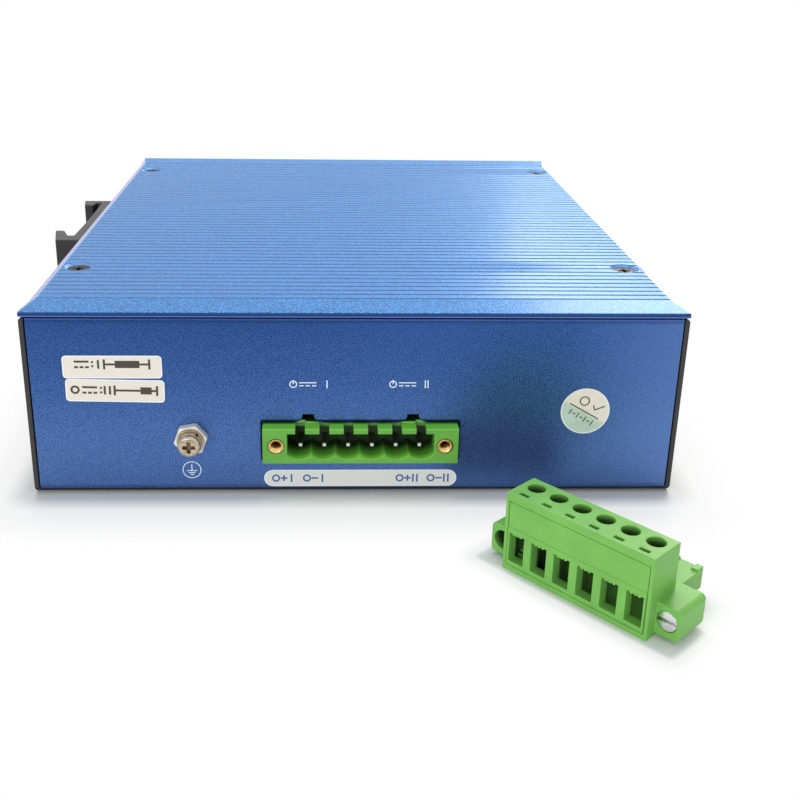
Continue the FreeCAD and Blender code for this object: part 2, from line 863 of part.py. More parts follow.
def core_window():
    """Corners of the transformer core's window, seen along Y."""
    half = core_width / 2
    low = board_top + core_leg
    return core_x - half + core_leg, core_x + half - core_leg, low, board_top + core_height - core_leg / 2


def make_transformer_core():
    half_w, half_l = core_width / 2, core_length / 2
    body = block(core_x - half_w, core_x + half_w, core_y - half_l, core_y + half_l,
                 board_top, board_top + core_height)
    left, right, low, high = core_window()
    return body.cut(block(left, right, core_y - half_l - cut_over, core_y + half_l + cut_over, low, high))


def make_transformer_winding():
    left, right, low, high = core_window()
    half = core_length / 2 + core_leg / 2
    coil = block(left + winding_wall, right - winding_wall, core_y - half, core_y + half, low, high)
    return rounded(coil, winding_wall, V(0, 1, 0))


def clip_screw_places():
    return (clip_y - clip_screw_offset, clip_y + clip_screw_offset)


def make_rail_clip():
    """C-shaped clip: a long springing hook and a short fixed one, with a shallow valley between."""
    slot = clip_half - clip_wall
    tip = slot - hook_overhang
    short_slot = clip_half - short_wall
    short_tip = short_slot - short_overhang
    short_out = short_reach - short_drop
    short_hook = [(0, clip_half), (short_reach, clip_half), (short_out, short_tip),
                  (short_out - hook_thickness, short_tip), (clip_base + rail_slot, short_slot),
                  (clip_base, short_slot)]
    long_hook = [(clip_base, slot), (clip_base + rail_slot, slot), (clip_reach - hook_thickness, tip),
                 (clip_reach, tip), (clip_shoulder, clip_half), (0, clip_half)]
    upper = [V(clip_face - out, clip_y + along, clip_low) for out, along in short_hook]
    lower = [V(clip_face - out, clip_y - along, clip_low) for out, along in long_hook]
    edges = [Part.makeLine(a, b) for a, b in zip(upper, upper[1:])]
    bottom = V(clip_face - clip_base + valley_depth, clip_y, clip_low)
    edges.append(Part.Arc(upper[-1], bottom, lower[0]).toShape())
    edges += [Part.makeLine(a, b) for a, b in zip(lower, lower[1:])]
    edges.append(Part.makeLine(lower[-1], upper[0]))
    clip = Part.Face(Part.Wire(edges)).extrude(V(0, 0, clip_high - clip_low))
    cuts = []
    for y in clip_screw_places():
        inside = V(clip_face, y, clip_middle_z)
        out = V(-1, 0, 0)
        cuts.append(rod(bore_radius, inside, inside + out * clip_base))
        cuts.append(rod(screw_head_radius + clip_head_room, inside + out * (clip_base - clip_bore_depth),
                        inside + out * (clip_base + cut_over)))
    return clip.cut(cuts)


def make_clip_screws():
    screws = []
    out = V(-1, 0, 0)
    for y in clip_screw_places():
        seat = V(clip_face, y, clip_middle_z) + out * (clip_base - clip_bore_depth)
        top = seat + out * clip_screw_head
        head = rounded_head(rod(screw_head_radius, seat, top), clip_screw_head / 2, out)
        shank = rod(screw_radius, V(-plate_inner + clip_screw_inside, y, clip_middle_z), seat)
        screws.append(merged(head, shank).cut(cross_recess(top, V(1, 0, 0), recess_depth)))
    return group(screws)


def placed(shape):
    """Turn and move a piece of the pluggable connector to where it stands."""
    shape.rotate(V(0, 0, 0), V(0, 0, 1), -plug_turn)
    shape.translate(V(plug_x, plug_y, 0))
    return shape


def face_outline(fit):
    """Lowest and highest corner of the wire face in the housing's rim, shrunk by a fit."""
    half = plug_half - face_margin - fit
    return -half, half, face_low + fit, face_high - fit


def make_plug_housing():
    tower = block(-plug_half, plug_half, 0, plug_tower_depth, 0, plug_height)
    shoulder = block(-plug_half, plug_half, plug_tower_depth / 2, plug_shoulder, 0, mate_flat)
    mate = scalloped(mate_half, mate_low, scallop_rise, mate_flat,
                     plug_tower_depth, plug_depth - plug_tower_depth)
    spans = [(place + (pole_pitch - mate_lug_width) / 2, mate_lug_width) for place in pole_places[:-1]]
    spans += [(-mate_half, mate_end_lug), (mate_half - mate_end_lug, mate_end_lug)]
    lugs = [block(start, start + width, plug_depth - mate_lug_length, plug_depth,
                  mate_flat - mate_lug_height, mate_top) for start, width in spans]
    flange = block(-plug_flange_half, plug_flange_half, plug_flange_front, plug_shoulder,
                   plug_flange_low, plug_flange_low + plug_flange_height)
    flange = rounded(flange, plug_flange_radius, V(0, 1, 0))
    housing = merged(tower, shoulder, mate, flange, *lugs)
    left, right, low, high = face_outline(0)
    cuts = [block(left, right, -cut_over, face_thickness, low, high)]
    for place in pole_places:
        half = chamber_width / 2
        cuts.append(block(place - half, place + half, 0, chamber_back, clamp_low, driver_hole_floor))
        cuts.append(rod(driver_hole_radius, V(place, driver_hole_y, driver_hole_floor - cut_over),
                        V(place, driver_hole_y, plug_height + cut_over)))
        cuts.append(block(place - probe_slot_width / 2, place + probe_slot_width / 2,
                          probe_slot_y - probe_slot_depth / 2, probe_slot_y + probe_slot_depth / 2,
                          plug_height - probe_slot_down, plug_height + cut_over))
        cuts.append(fork_bar(place, fork_fit, clamp_back - fork_fit, plug_depth + cut_over))
    for side in (-1, 1):
        start = V(side * insert_offset, plug_flange_front, plug_axis_z)
        cuts.append(rod(flange_screw_head_radius + screw_fit, start, start + V(0, flange_bore_depth, 0)))
        cuts.append(rod(insert_bore + screw_fit, start, V(start.x, plug_shoulder + cut_over, start.z)))
    return placed(housing.cut(cuts))


def make_plug_wire_face():
    """Inset front of the pluggable connector, with one toothed wire opening for each pole."""
    left, right, low, high = face_outline(face_fit)
    upper = block(left, right, face_sink, face_thickness, low, high)
    lower = block(left, right, face_sink - face_ledge, face_thickness, low, face_ledge_z)
    face = merged(upper, lower)
    cuts = []
    top = wire_low + wire_height
    for place in pole_places:
        half = wire_width / 2
        opening = block(place - half, place + half, -cut_over, face_thickness + cut_over, wire_low, top)
        teeth = [rod(wire_tooth, V(place + k * 2.2 * wire_tooth, -cut_over, top),
                     V(place + k * 2.2 * wire_tooth, face_thickness + cut_over, top)) for k in (-1, 0, 1)]
        cuts.append(opening.cut(teeth))
    return placed(face.cut(cuts))


def make_plug_clamps():
    """Rising clamp cages, one behind each wire opening."""
    cages = []
    half = chamber_width / 2 - clamp_fit
    low = clamp_low
    for place in pole_places:
        cage = block(place - half, place + half, face_thickness, clamp_back, low, low + clamp_height)
        mouth = block(place - half + clamp_wall, place + half - clamp_wall, face_thickness - cut_over,
                      clamp_back + cut_over, low + clamp_wall, low + clamp_height - 2 * clamp_wall)
        hole = rod(clamp_screw_radius + screw_fit, V(place, driver_hole_y, low + clamp_height / 2),
                   V(place, driver_hole_y, low + clamp_height + cut_over))
        cages.append(cage.cut([mouth, hole]))
    return placed(group(cages))


def make_plug_clamp_screws():
    screws = []
    seat = clamp_low + clamp_height
    for place in pole_places:
        axis = V(place, driver_hole_y, 0)
        head = rod(clamp_head_radius, axis + V(0, 0, seat), axis + V(0, 0, seat + clamp_head_height))
        shank = rod(clamp_screw_radius, axis + V(0, 0, seat - 3 * clamp_wall), axis + V(0, 0, seat))
        top = seat + clamp_head_height
        slot = block(place - clamp_head_radius, place + clamp_head_radius, driver_hole_y - recess_width / 3,
                     driver_hole_y + recess_width / 3, top - clamp_head_height / 2, top + cut_over)
        screws.append(merged(head, shank).cut(slot))
    return placed(group(screws))


def fork_bar(place, fit, start, end):
    half = fork_width / 2 + fit
    return block(place - half, place + half, start, end, plug_pin_z - fork_height / 2 - fit,
                 plug_pin_z + fork_height / 2 + fit)


def make_plug_contacts():
    """Fork contacts that run from each clamp to the mating face."""
    forks = []
    end = plug_depth - fork_inset
    for place in pole_places:
        bar = fork_bar(place, 0, clamp_back, end)
        slit = block(place - fork_slit / 2, place + fork_slit / 2, chamber_back, end + cut_over,
                     plug_pin_z - fork_height, plug_pin_z + fork_height)
        forks.append(bar.cut(slit))
    return placed(group(forks))


def make_plug_flange_screws():
    screws = []
    for side, sink in zip((-1, 1), flange_screw_sinks):
        top = V(side * insert_offset, plug_flange_front + sink, plug_axis_z)
        seat = top + V(0, flange_screw_head_height, 0)
        head = rod(flange_screw_head_radius, top, seat)
        shank = rod(insert_bore, seat, seat + V(0, flange_screw_length, 0))
        slot = block(-flange_screw_head_radius, flange_screw_head_radius, -cut_over,
                     flange_screw_head_height / 2, -flange_screw_slot / 2, flange_screw_slot / 2)
        slot.translate(top)
        screws.append(merged(head, shank).cut(slot))
    return placed(group(screws))


def make_pieces():
    pieces = {
        "base_tray": make_base_tray(),
        "ribbed_cover": make_ribbed_cover(),
        "front_plate": make_front_plate(),
        "rear_plate": make_rear_plate(),
        "cover_blocks": make_cover_blocks(),
        "base_blocks": make_base_blocks(),
        "cover_screws": make_cover_screws(),
        "base_screws": make_base_screws(),
        "board_standoffs": make_board_standoffs(),
        "board_screws": make_board_screws(),
        "main_board": make_main_board(),
        "power_header": make_power_header(),
        "header_pins": make_header_pins(),
        "header_inserts": make_header_inserts(),
        "earth_nut": make_earth_nut(),
        "earth_washer": make_earth_washer(),
        "earth_spring_washer": make_earth_spring_washer(),
        "earth_screw": make_earth_screw(),
        "jack_contacts": make_jack_contacts(),
        "fibre_cage": make_fibre_cage(),
        "fibre_sockets": make_fibre_sockets(),
        "lamp_block": make_lamp_block(),
        "lamps": make_lamps(),
        "switch_chip": make_switch_chip(),
        "chip_heatsink": make_chip_heatsink(),
        "power_controllers": make_power_controllers(),
        "capacitors": make_capacitors(),
        "power_coils": make_power_coils(),
        "transformer_core": make_transformer_core(),
        "transformer_winding": make_transformer_winding(),
        "rail_clip": make_rail_clip(),
        "clip_screws": make_clip_screws(),
        "plug_housing": make_plug_housing(),
        "plug_wire_face": make_plug_wire_face(),
        "plug_clamps": make_plug_clamps(),
        "plug_clamp_screws": make_plug_clamp_screws(),
        "plug_contacts": make_plug_contacts(),
        "plug_flange_screws": make_plug_flange_screws(),
    }
    for index in range(jack_count):
        pieces[f"jack_shield_{index + 1}"] = make_jack_shield(index)
        pieces[f"jack_body_{index + 1}"] = make_jack_body(index)
    return pieces


os.makedirs("parts", exist_ok=True)
for name, shape in make_pieces().items():
    shape.exportStep(f"parts/{name}.step")
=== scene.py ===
"""Looks of a rail-mount power over ethernet switch that lies on its side, with its power plug taken off."""

import math
from functools import cached_property

import bpy
from mathutils import Matrix, Vector


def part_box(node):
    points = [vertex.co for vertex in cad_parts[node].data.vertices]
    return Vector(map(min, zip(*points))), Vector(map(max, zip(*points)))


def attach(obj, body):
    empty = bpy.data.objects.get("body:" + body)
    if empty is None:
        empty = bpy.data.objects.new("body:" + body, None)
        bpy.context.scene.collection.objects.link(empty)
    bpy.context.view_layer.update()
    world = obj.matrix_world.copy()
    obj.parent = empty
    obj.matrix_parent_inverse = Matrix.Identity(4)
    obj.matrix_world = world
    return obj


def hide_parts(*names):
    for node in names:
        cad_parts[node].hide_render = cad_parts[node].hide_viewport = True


bl_info = {
    "name": "Power over ethernet switch",
    "version": (1, 0, 0),
    "blender": (4, 5, 0),
    "location": "View3D > Sidebar > Switch",
    "description": "Finishes, print, stickers and stage for a rail-mount network switch",
    "category": "Object",
}

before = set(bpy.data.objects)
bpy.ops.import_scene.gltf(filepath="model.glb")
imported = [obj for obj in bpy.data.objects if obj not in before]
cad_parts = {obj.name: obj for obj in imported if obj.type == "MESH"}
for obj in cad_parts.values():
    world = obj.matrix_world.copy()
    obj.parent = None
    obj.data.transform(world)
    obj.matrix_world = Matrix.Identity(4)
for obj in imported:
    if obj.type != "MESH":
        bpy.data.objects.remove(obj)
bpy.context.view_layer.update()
POWER_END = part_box("base_tray")[0].y
BODY = "root"
WHITE = (1.0, 1.0, 1.0)

# Rounding of CAD nodes: merged points, flat faces, edges that are rounded and their steps, smooth shading
MERGE, FLAT, SHARP, EDGE_STEPS, SMOOTH = 2e-6, math.radians(0.5), math.radians(28), 3, math.radians(40)
# Print: gap under a film or an ink, extra thickness of a stroke that crosses another, a round corner's share
GAP, CROSSING, ROUND = 0.00001, 1.3, 0.499
# Places and sizes from the CAD that the painted shade in the connectors' hollows follows
SOCKET_FLOOR, SOCKET_ROOF, PIN_RECESS = 0.0094, 0.0165, 0.0035
PLUG_PLACE, PLUG_TURN = (0.0378, -0.1202, 0.0), math.radians(47.9)
TOWER_SIZE = (0.03138, 0.0082, 0.0162)
FLANGE_BORE = (0.01778, 0.0039, 0.00195, 0.0024)  # place across, height, radius and front


# Shader expressions


class Tone:
    """A shader socket that takes part in Python sums. Each sum adds a Math node."""

    def __init__(self, finish, socket):
        self.finish = finish
        self.socket = socket

    def sum(self, operation, *terms):
        return self.finish.node("ShaderNodeMath", {"operation": operation}, dict(enumerate(terms)))

    def __add__(self, other):
        return self.sum("ADD", self, other)

    def __radd__(self, other):
        return self.sum("ADD", other, self)

    def __sub__(self, other):
        return self.sum("SUBTRACT", self, other)

    def __rsub__(self, other):
        return self.sum("SUBTRACT", other, self)

    def __mul__(self, other):
        return self.sum("MULTIPLY", self, other)

    def __rmul__(self, other):
        return self.sum("MULTIPLY", other, self)

    def __pow__(self, other):
        return self.sum("POWER", self, other)

    def __rpow__(self, other):
        return self.sum("POWER", other, self)

    def __abs__(self):
        return self.sum("ABSOLUTE", self)

    def pick(self, operation, others):
        chosen = self
        for other in others:
            chosen = self.sum(operation, chosen, other)
        return chosen

    def least(self, *others):
        """The smallest of this value and others."""
        return self.pick("MINIMUM", others)

    def most(self, *others):
        """The largest of this value and others."""
        return self.pick("MAXIMUM", others)

    def spread(self, low, high, out_low=0.0, out_high=1.0):
        """This value taken from one range to another, held at the ends."""
        return self.finish.node("ShaderNodeMapRange", {"clamp": True}, {
            "Value": self, "From Min": low, "From Max": high, "To Min": out_low, "To Max": out_high})

    def patchy(self, low=0.0, high=1.0):
        """Noise taken to a range that most of it fills."""
        return self.spread(0.3, 0.7, low, high)

    def gentle(self, low, high):
        """Noise taken to a range whose ends it seldom reaches."""
        return self.spread(0.2, 0.8, low, high)


class Finish:
    """One surface finish, or the sky, whose nodes are written as expressions."""

    def __init__(self, name, kind="materials", shader="Principled BSDF"):
        self.owner = getattr(bpy.data, kind).new(name)
        self.owner.use_nodes = True
        self.tree = self.owner.node_tree
        self.shader = self.tree.nodes[shader]

    @cached_property
    def place(self):
        """Object coordinates."""
        return self.node("ShaderNodeTexCoord", output="Object")

    def node(self, kind, settings=None, values=None, output=0):
        """Add a node: its settings first, then the values or links of its sockets."""
        made = self.tree.nodes.new(kind)
        for key, value in (settings or {}).items():
            setattr(made, key, value)
        for key, value in (values or {}).items():
            self.feed(made.inputs[key], value)
        return Tone(self, made.outputs[output])

    def feed(self, socket, value):
        if isinstance(value, Tone):
            self.tree.links.new(value.socket, socket)
        elif socket.type == "RGBA":
            socket.default_value = (*tuple(value)[:3], 1.0)
        else:
            socket.default_value = value

    def surface(self, **values):
        """Set or link sockets of the surface shader; Base_Color stands for Base Color."""
        for key, value in values.items():
            self.feed(self.shader.inputs[key.replace("_", " ")], value)
        return self.owner

    def cover(self, share, other):
        """Lay another shader over the surface by a share."""
        own = self.shader.outputs[0]
        end = own.links[0].to_socket
        self.feed(end, self.node("ShaderNodeMixShader", None, {0: share, 1: Tone(self, own), 2: other}))

    def around(self, middle):
        """Object coordinates taken from a middle."""
        return self.vector("SUBTRACT", self.place, middle)

    def turned(self, angles=(0.0, 0.0, 0.0), scale=(1.0, 1.0, 1.0), centre=(0.0, 0.0, 0.0)):
        """Object coordinates taken from a centre, turned and scaled."""
        return self.node("ShaderNodeMapping", None, {
            "Vector": self.around(centre), "Rotation": angles, "Scale": scale})

    def grain(self, size, detail=2.0, place=None):
        """Noise whose features are about this size in metres."""
        return self.node("ShaderNodeTexNoise", None, {
            "Vector": place or self.place, "Scale": 1.0 / size, "Detail": detail})

    def axis(self, name, place=None):
        """One coordinate of a place."""
        return self.node("ShaderNodeSeparateXYZ", None, {"Vector": place or self.place}, name)

    def mix(self, share, first, second):
        return self.node("ShaderNodeMix", {"data_type": "RGBA"}, {0: share, 6: first, 7: second}, 2)

    def layered(self, shade, *layers):
        """Lay colours over a shade in turn, each by its own share."""
        for share, colour in layers:
            shade = self.mix(share, shade, colour)
        return shade

    def vector(self, operation, first, second=(0.0, 0.0, 0.0), output=0):
        return self.node("ShaderNodeVectorMath", {"operation": operation}, {0: first, 1: second}, output)

    def off_axis(self, place):
        """Distance of a place from its own Y axis."""
        return self.vector("LENGTH", self.vector("MULTIPLY", place, (1.0, 0.0, 1.0)), output="Value")

    def reach(self, place, middle, half):
        """Distance of a place from a box of this half size round a middle."""
        past = self.vector("ABSOLUTE", self.vector("SUBTRACT", place, middle))
        return self.vector("LENGTH", self.vector("MAXIMUM", self.vector("SUBTRACT", past, half)), output="Value")

    def bump(self, height, depth, strength=0.5):
        return self.node("ShaderNodeBump", None, {"Height": height, "Distance": depth, "Strength": strength})

    def rays(self):
        """Whether the camera, gloss or glass sees a point."""
        return [self.node("ShaderNodeLightPath", output=f"Is {kind} Ray")
                for kind in ("Camera", "Glossy", "Transmission")]


def shaded(colour, factor):
    return tuple(min(1.0, channel * factor) for channel in tuple(colour)[:3])


# Finishes of the casing


def anodised(name, colour, pale, grain, contrast, rough):
    """Sand-blasted anodised aluminium: fine bright and dark grains over an even blue."""
    finish = Finish(name)
    coarse, fine = finish.grain(grain, 1.0), finish.grain(grain * 0.55, 0.0)
    speck = (coarse * 0.55 + fine * 0.45).spread(0.36, 0.64)
    shade = finish.layered(
        shaded(colour, 1.0 - contrast),
        (speck, shaded(colour, 1.0 + contrast)),
        (speck.spread(0.66, 1.0, 0.0, contrast), pale),
        (finish.grain(0.03).patchy(0.0, 0.15), shaded(colour, 0.8)))
    finish.surface(Metallic=1.0, Roughness=rough + speck * 0.1, Normal=finish.bump(speck, grain * 0.06))
    return finish, shade


def blue_anodised(name):
    """Tray: mid blue, painted shade at the top, painted light low down and at the right, painted dark and bright
    lines.
    """
    look = bpy.context.scene.casing_look
    finish, shade = anodised(name, look.blue, look.pale, look.grain, 0.75, 0.36)
    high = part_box("base_tray")[1].z
    level = finish.axis("Z")
    below = high - level
    low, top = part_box("power_header")
    window = finish.reach(finish.place, (low + top) / 2, (top - low) / 2)
    return finish.surface(Base_Color=finish.layered(
        shade,
        (below.spread(0.0, high * 0.65, 0.55, 0.0), look.deep),  # painted shade on the upper part
        (below.spread(high * 0.35, high, 0.0, 0.3), look.pale),  # painted light on the lower part
        (finish.axis("X").spread(0.044, 0.066, 0.0, 0.4), look.pale),  # painted light on the right end
        (window.spread(0.0007, 0.0004, 0.0, 0.92), shaded(look.blue, 0.06)),  # painted shadow in the gap round the connector
        (level.spread(0.0016, 0.0012, 0.0, 0.97), look.fold),  # painted shade on the fold at the foot
        (below.spread(0.0012, 0.0004, 0.0, 0.6), shaded(look.deep, 0.6)),  # shade under the cover's rim
        (below.spread(0.0004, 0.00026, 0.0, 0.45), look.worn)))  # painted highlight along the top edge


def ribbed_blue(name):
    """Cover: paler blue on top, painted sheen on the ribs, painted light on the groove walls, painted shade on the
    rim, a paler line along the rim's lower edge.
    """
    look = bpy.context.scene.casing_look
    finish, shade = anodised(name, look.cover_blue, look.cover_pale, look.cover_grain, 0.8, 0.38)
    finish.surface(Metallic=0.35, Specular_IOR_Level=0.2, Coat_Weight=0.38, Coat_Roughness=0.24, Coat_IOR=1.45,
                   Specular_Tint=look.cover_sheen)
    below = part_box("ribbed_cover")[1].z - finish.axis("Z")
    along = abs(finish.axis("Y"))
    ribbed = -POWER_END - look.plain_band
    end = along.spread(-POWER_END - 0.00025, -POWER_END - 0.00015)
    # Rim: painted shade, with a paler line along its lower edge
    rim = finish.mix(below.spread(0.00072, 0.0008), shaded(look.deep, 0.6), look.worn)
    return finish.surface(Base_Color=finish.layered(
        shade,
        (along.spread(ribbed, ribbed - 0.0004) * 0.4, look.rib),  # painted sheen between the plain bands
        (below.spread(0.00006, 0.0002), look.groove),  # painted light on the groove walls below the ribs' tops
        (end * below.spread(0.00004, 0.00014), rim)))  # on the end faces: painted shade on the rim


def bright_edge(name):
    """Chamfer that was cut after blasting: smoother and paler than the faces."""
    edge = bpy.context.scene.casing_look.edge
    finish = Finish(name)
    streak = finish.grain(0.0002, place=finish.turned(scale=(1.0, 0.05, 1.0)))
    return finish.surface(
        Base_Color=finish.mix(streak.patchy(), shaded(edge, 0.86), edge), Metallic=0.8,
        Roughness=streak.gentle(0.26, 0.4), Normal=finish.bump(streak, 0.000006))


def dark_plate(name):
    """Matt black powder coat, with its fine orange-peel and a few rubbed specks."""
    plate = bpy.context.scene.casing_look.plate
    finish = Finish(name)
    peel = finish.grain(0.00045)
    speck = finish.grain(0.0012, 3.0).spread(0.62, 0.74)
    colour = finish.layered(
        shaded(plate, 0.8), (peel.patchy(), shaded(plate, 1.25)), (speck * 0.35, shaded(plate, 2.2)))
    return finish.surface(
        Base_Color=colour, Roughness=peel.gentle(0.44, 0.62), Normal=finish.bump(peel, 0.00003, 0.6))


# Where painted light and shade, and rubbed metal, fall on the connectors and the earth terminal


def socket_depth(finish):
    """How far behind the power connector's face a point lies."""
    return finish.axis("Y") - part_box("power_header")[0].y


def insert_radius(finish):
    """Distance of a point from the axis of the nearer threaded insert."""
    low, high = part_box("header_inserts")
    own = finish.around((low + high) / 2)
    across = abs(finish.axis("X", own)) - (high.x - low.x - high.z + low.z) / 2
    return (across ** 2.0 + finish.axis("Z", own) ** 2.0) ** 0.5


def socket_shade(finish):
    """Share of painted shade inside the connector's socket, behind the panel's notches or in an insert's bore, by
    how far inside a point lies.
    """
    depth, level = socket_depth(finish), finish.axis("Z")
    inside = (depth + (level - SOCKET_FLOOR) * 0.45).spread(0.0034, 0.0066)
    inside = inside * level.spread(SOCKET_ROOF - 0.0001, SOCKET_ROOF - 0.0006) * depth.spread(0.0002, 0.0008)
    inside = inside * level.spread(SOCKET_ROOF - 0.0014, SOCKET_ROOF - 0.0008, 1.0, 0.3)
    notch = level.spread(SOCKET_ROOF + 0.0001, SOCKET_ROOF + 0.0003) * depth.spread(0.0015, 0.0028)
    bore = insert_radius(finish).spread(0.0019, 0.00185) * depth.spread(0.00003, 0.00012)
    return (inside + notch + bore).least(1.0)


def socket_lip(finish, reach):
    """Front of the socket's scalloped floor, from its edge inwards."""
    depth, level = socket_depth(finish), finish.axis("Z")
    edge = depth.spread(0.00002, 0.00006) * depth.spread(reach, reach * 0.4)
    return edge * level.spread(SOCKET_FLOOR + 0.0018, SOCKET_FLOOR + 0.0012)


def socket_lit(finish):
    """Painted light on the connector's top and the front of its socket's floor, as if lit from above."""
    top = finish.axis("Z").spread(SOCKET_ROOF - 0.0002, SOCKET_ROOF)
    return (socket_lip(finish, 0.0026) + top).least(1.0)


def socket_edge_highlight(finish):
    """Painted highlight along the edge of the socket's floor."""
    return socket_lip(finish, 0.0006) * 0.8


def on_plug(finish):
    """Coordinates in the plug's own frame: across, from its wire side inwards, and up."""
    return finish.turned((0.0, 0.0, PLUG_TURN), centre=PLUG_PLACE)


def plug_shade(finish):
    """Share of painted shade inside the plug's wire openings, screw wells, probe slots and flange bores, by how far
    inside a point lies.
    """
    own = on_plug(finish)
    depth, across, level = finish.axis("Y", own), abs(finish.axis("X", own)), finish.axis("Z", own)
    width, length, top = TOWER_SIZE
    bore_x, bore_z, radius, bore_front = FLANGE_BORE
    front = depth.spread(0.0018, 0.0056)
    well = (top - level).spread(0.0001, 0.0012, 0.0, 0.85) * depth.spread(0.0004, 0.0009)
    inside = front + (well - front) * level.spread(top - 0.006, top - 0.005)
    inside = inside.least((length - depth).spread(0.0003, 0.001), (width / 2 - across).spread(0.0003, 0.001))
    off_axis = (across - bore_x) ** 2.0 + (level - bore_z) ** 2.0
    sunk = off_axis.spread((radius + 0.0001) ** 2, radius ** 2) * (depth - bore_front).spread(0.0002, 0.0016)
    return (inside + sunk).least(1.0)


def earth_axis(finish):
    """Distance of a point from the earth screw's axis."""
    low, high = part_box("earth_nut")
    return finish.off_axis(finish.around((low + high) / 2))


def nut_seat(finish):
    """Rubbed ring on the earth nut's face, round the washers."""
    return earth_axis(finish).spread(0.0031, 0.0027) * 0.8


def earth_recess(finish):
    """Painted shade in the cross recess of the earth screw's head, and the rubbed metal round it."""
    depth = finish.axis("Y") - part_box("earth_screw")[0].y
    recess = depth.spread(0.00006, 0.00025) * earth_axis(finish).spread(0.0016, 0.0014)
    rubbed = finish.grain(0.0006).spread(0.5, 0.6, 0.0, 0.6) * earth_axis(finish).spread(0.0021, 0.0014)
    return (recess + rubbed).least(1.0)


def pin_depth(finish):
    """How far behind its tip a point of a connector pin lies, where the socket shades it."""
    return (socket_depth(finish) - PIN_RECESS).spread(0.00001, 0.00016)


def insert_shade(finish):
    """Share of painted shade inside a threaded insert's bore and between the teeth of its knurl, by how far in a
    point lies.
    """
    depth = socket_depth(finish)
    teeth = insert_radius(finish).spread(0.00125, 0.00135) * depth.spread(0.00003, 0.0001)
    return (depth.spread(0.0012, 0.006) + teeth).least(1.0)


# Finishes of the other pieces


def moulded(name, colour, rough, grain=0.0003, depth=0.000008, sheen=1.12, shine=0.5, hollow=None, lit=None,
            line=None):
    """Moulded plastic: faint flow clouds, a fine spark-eroded texture and soft gloss changes."""
    finish = Finish(name)
    cloud, texture = finish.grain(0.006, 3.0), finish.grain(grain)
    shade = finish.layered(
        shaded(colour, 0.93),
        (cloud.patchy(), shaded(colour, sheen)),
        (texture.spread(0.35, 0.65, 0.0, 0.25), shaded(colour, 0.82)))
    # Where masks are given: painted light where lit, a painted highlight along the socket floor's edge, painted
    # shade in hollows
    highlight_green = (0.44, 0.90, 0.18)
    for mask, over in ((lit, shaded(colour, 2.0)), (line, highlight_green), (hollow, shaded(colour, 0.1))):
        if mask:
            shade = finish.mix(mask(finish), shade, over)
    return finish.surface(
        Base_Color=shade, Roughness=rough + cloud.gentle(-0.05, 0.08), Specular_IOR_Level=shine,
        Normal=finish.bump(texture, depth, 0.6))


def plated(name, colour, rough, tarnish, share, grain=0.0004, metal=1.0, hollow=None, deep=0.2):
    """Plated or bare metal with fine handling marks, a little tarnish and, where asked for, a darker patch: painted
    shade in hollows, the rubbed ring on the earth nut.
    """
    finish = Finish(name)
    mark = finish.grain(grain, 4.0)
    stain = finish.grain(0.0016, 3.0).spread(0.45, 0.75)
    shade = finish.layered(shaded(colour, 0.82), (mark.patchy(), colour), (stain * share, tarnish))
    # Mask in the tarnish colour darkened by deep: painted shade in hollows, and the earth nut's rubbed ring
    if hollow:
        shade = finish.mix(hollow(finish), shade, shaded(tarnish, deep))
    return finish.surface(
        Base_Color=shade, Metallic=metal, Roughness=mark.gentle(rough * 0.75, rough * 1.5),
        Normal=finish.bump(mark, grain * 0.02))


def ink(name, colour, worn):
    """Screen-printed ink with small thin spots."""
    finish = Finish(name)
    thin = finish.grain(0.0005, 3.0).spread(0.55, 0.8)
    film = finish.grain(0.00018, 1.0)
    shade = finish.layered(
        colour, (thin * worn, bpy.context.scene.casing_look.blue), (film.patchy(0.0, 0.12), shaded(colour, 0.7)))
    return finish.surface(
        Base_Color=shade, Roughness=film.gentle(0.5, 0.65), Normal=finish.bump(film, 0.000004))


def copper_winding(name):
    """Enamelled wire laid side by side round the transformer's core."""
    finish = Finish(name)
    turns = finish.node("ShaderNodeTexWave", {"bands_direction": "Y"}, {
        "Vector": finish.place, "Scale": 350.0, "Distortion": 0.4, "Detail": 1.0}, "Fac")
    colour = finish.mix(turns, (0.22, 0.07, 0.02), bpy.context.scene.metal_look.copper)
    return finish.surface(
        Base_Color=colour, Metallic=0.7, Roughness=0.3 + turns * 0.1, Normal=finish.bump(turns, 0.0001, 1.0))


def lamp_lens(name):
    """Milky lens with a slightly denser middle."""
    finish = Finish(name)
    cloud = finish.grain(0.0008)
    colour = finish.mix(cloud.patchy(), (0.62, 0.68, 0.6), (0.8, 0.85, 0.78))
    return finish.surface(Base_Color=colour, Roughness=cloud.gentle(0.16, 0.3))


def circuit_board(name):
    """Green solder mask with tracks, ground areas and plated holes showing through."""
    finish = Finish(name)
    tracks = finish.node("ShaderNodeTexBrick", {"offset": 0.37, "squash": 1.6}, {
        "Vector": finish.place, "Color1": WHITE, "Color2": WHITE, "Mortar": (0, 0, 0), "Scale": 90.0,
        "Mortar Size": 0.028, "Mortar Smooth": 0.1}, "Fac")
    holes = finish.node("ShaderNodeTexVoronoi", {"feature": "F1"}, {
        "Vector": finish.place, "Scale": 190.0, "Randomness": 0.75}, "Distance").spread(0.12, 0.17, 1.0, 0.0)
    colour = finish.layered(
        (0.012, 0.085, 0.035),
        (tracks, (0.025, 0.16, 0.06)),
        (finish.grain(0.0005, 1.0).patchy(0.0, 0.2), (0.01, 0.06, 0.03)),
        (holes, (0.62, 0.6, 0.52)))
    return finish.surface(
        Base_Color=colour, Roughness=0.34 - holes * 0.08, Normal=finish.bump(tracks + holes * 0.6, 0.00004, 0.7))


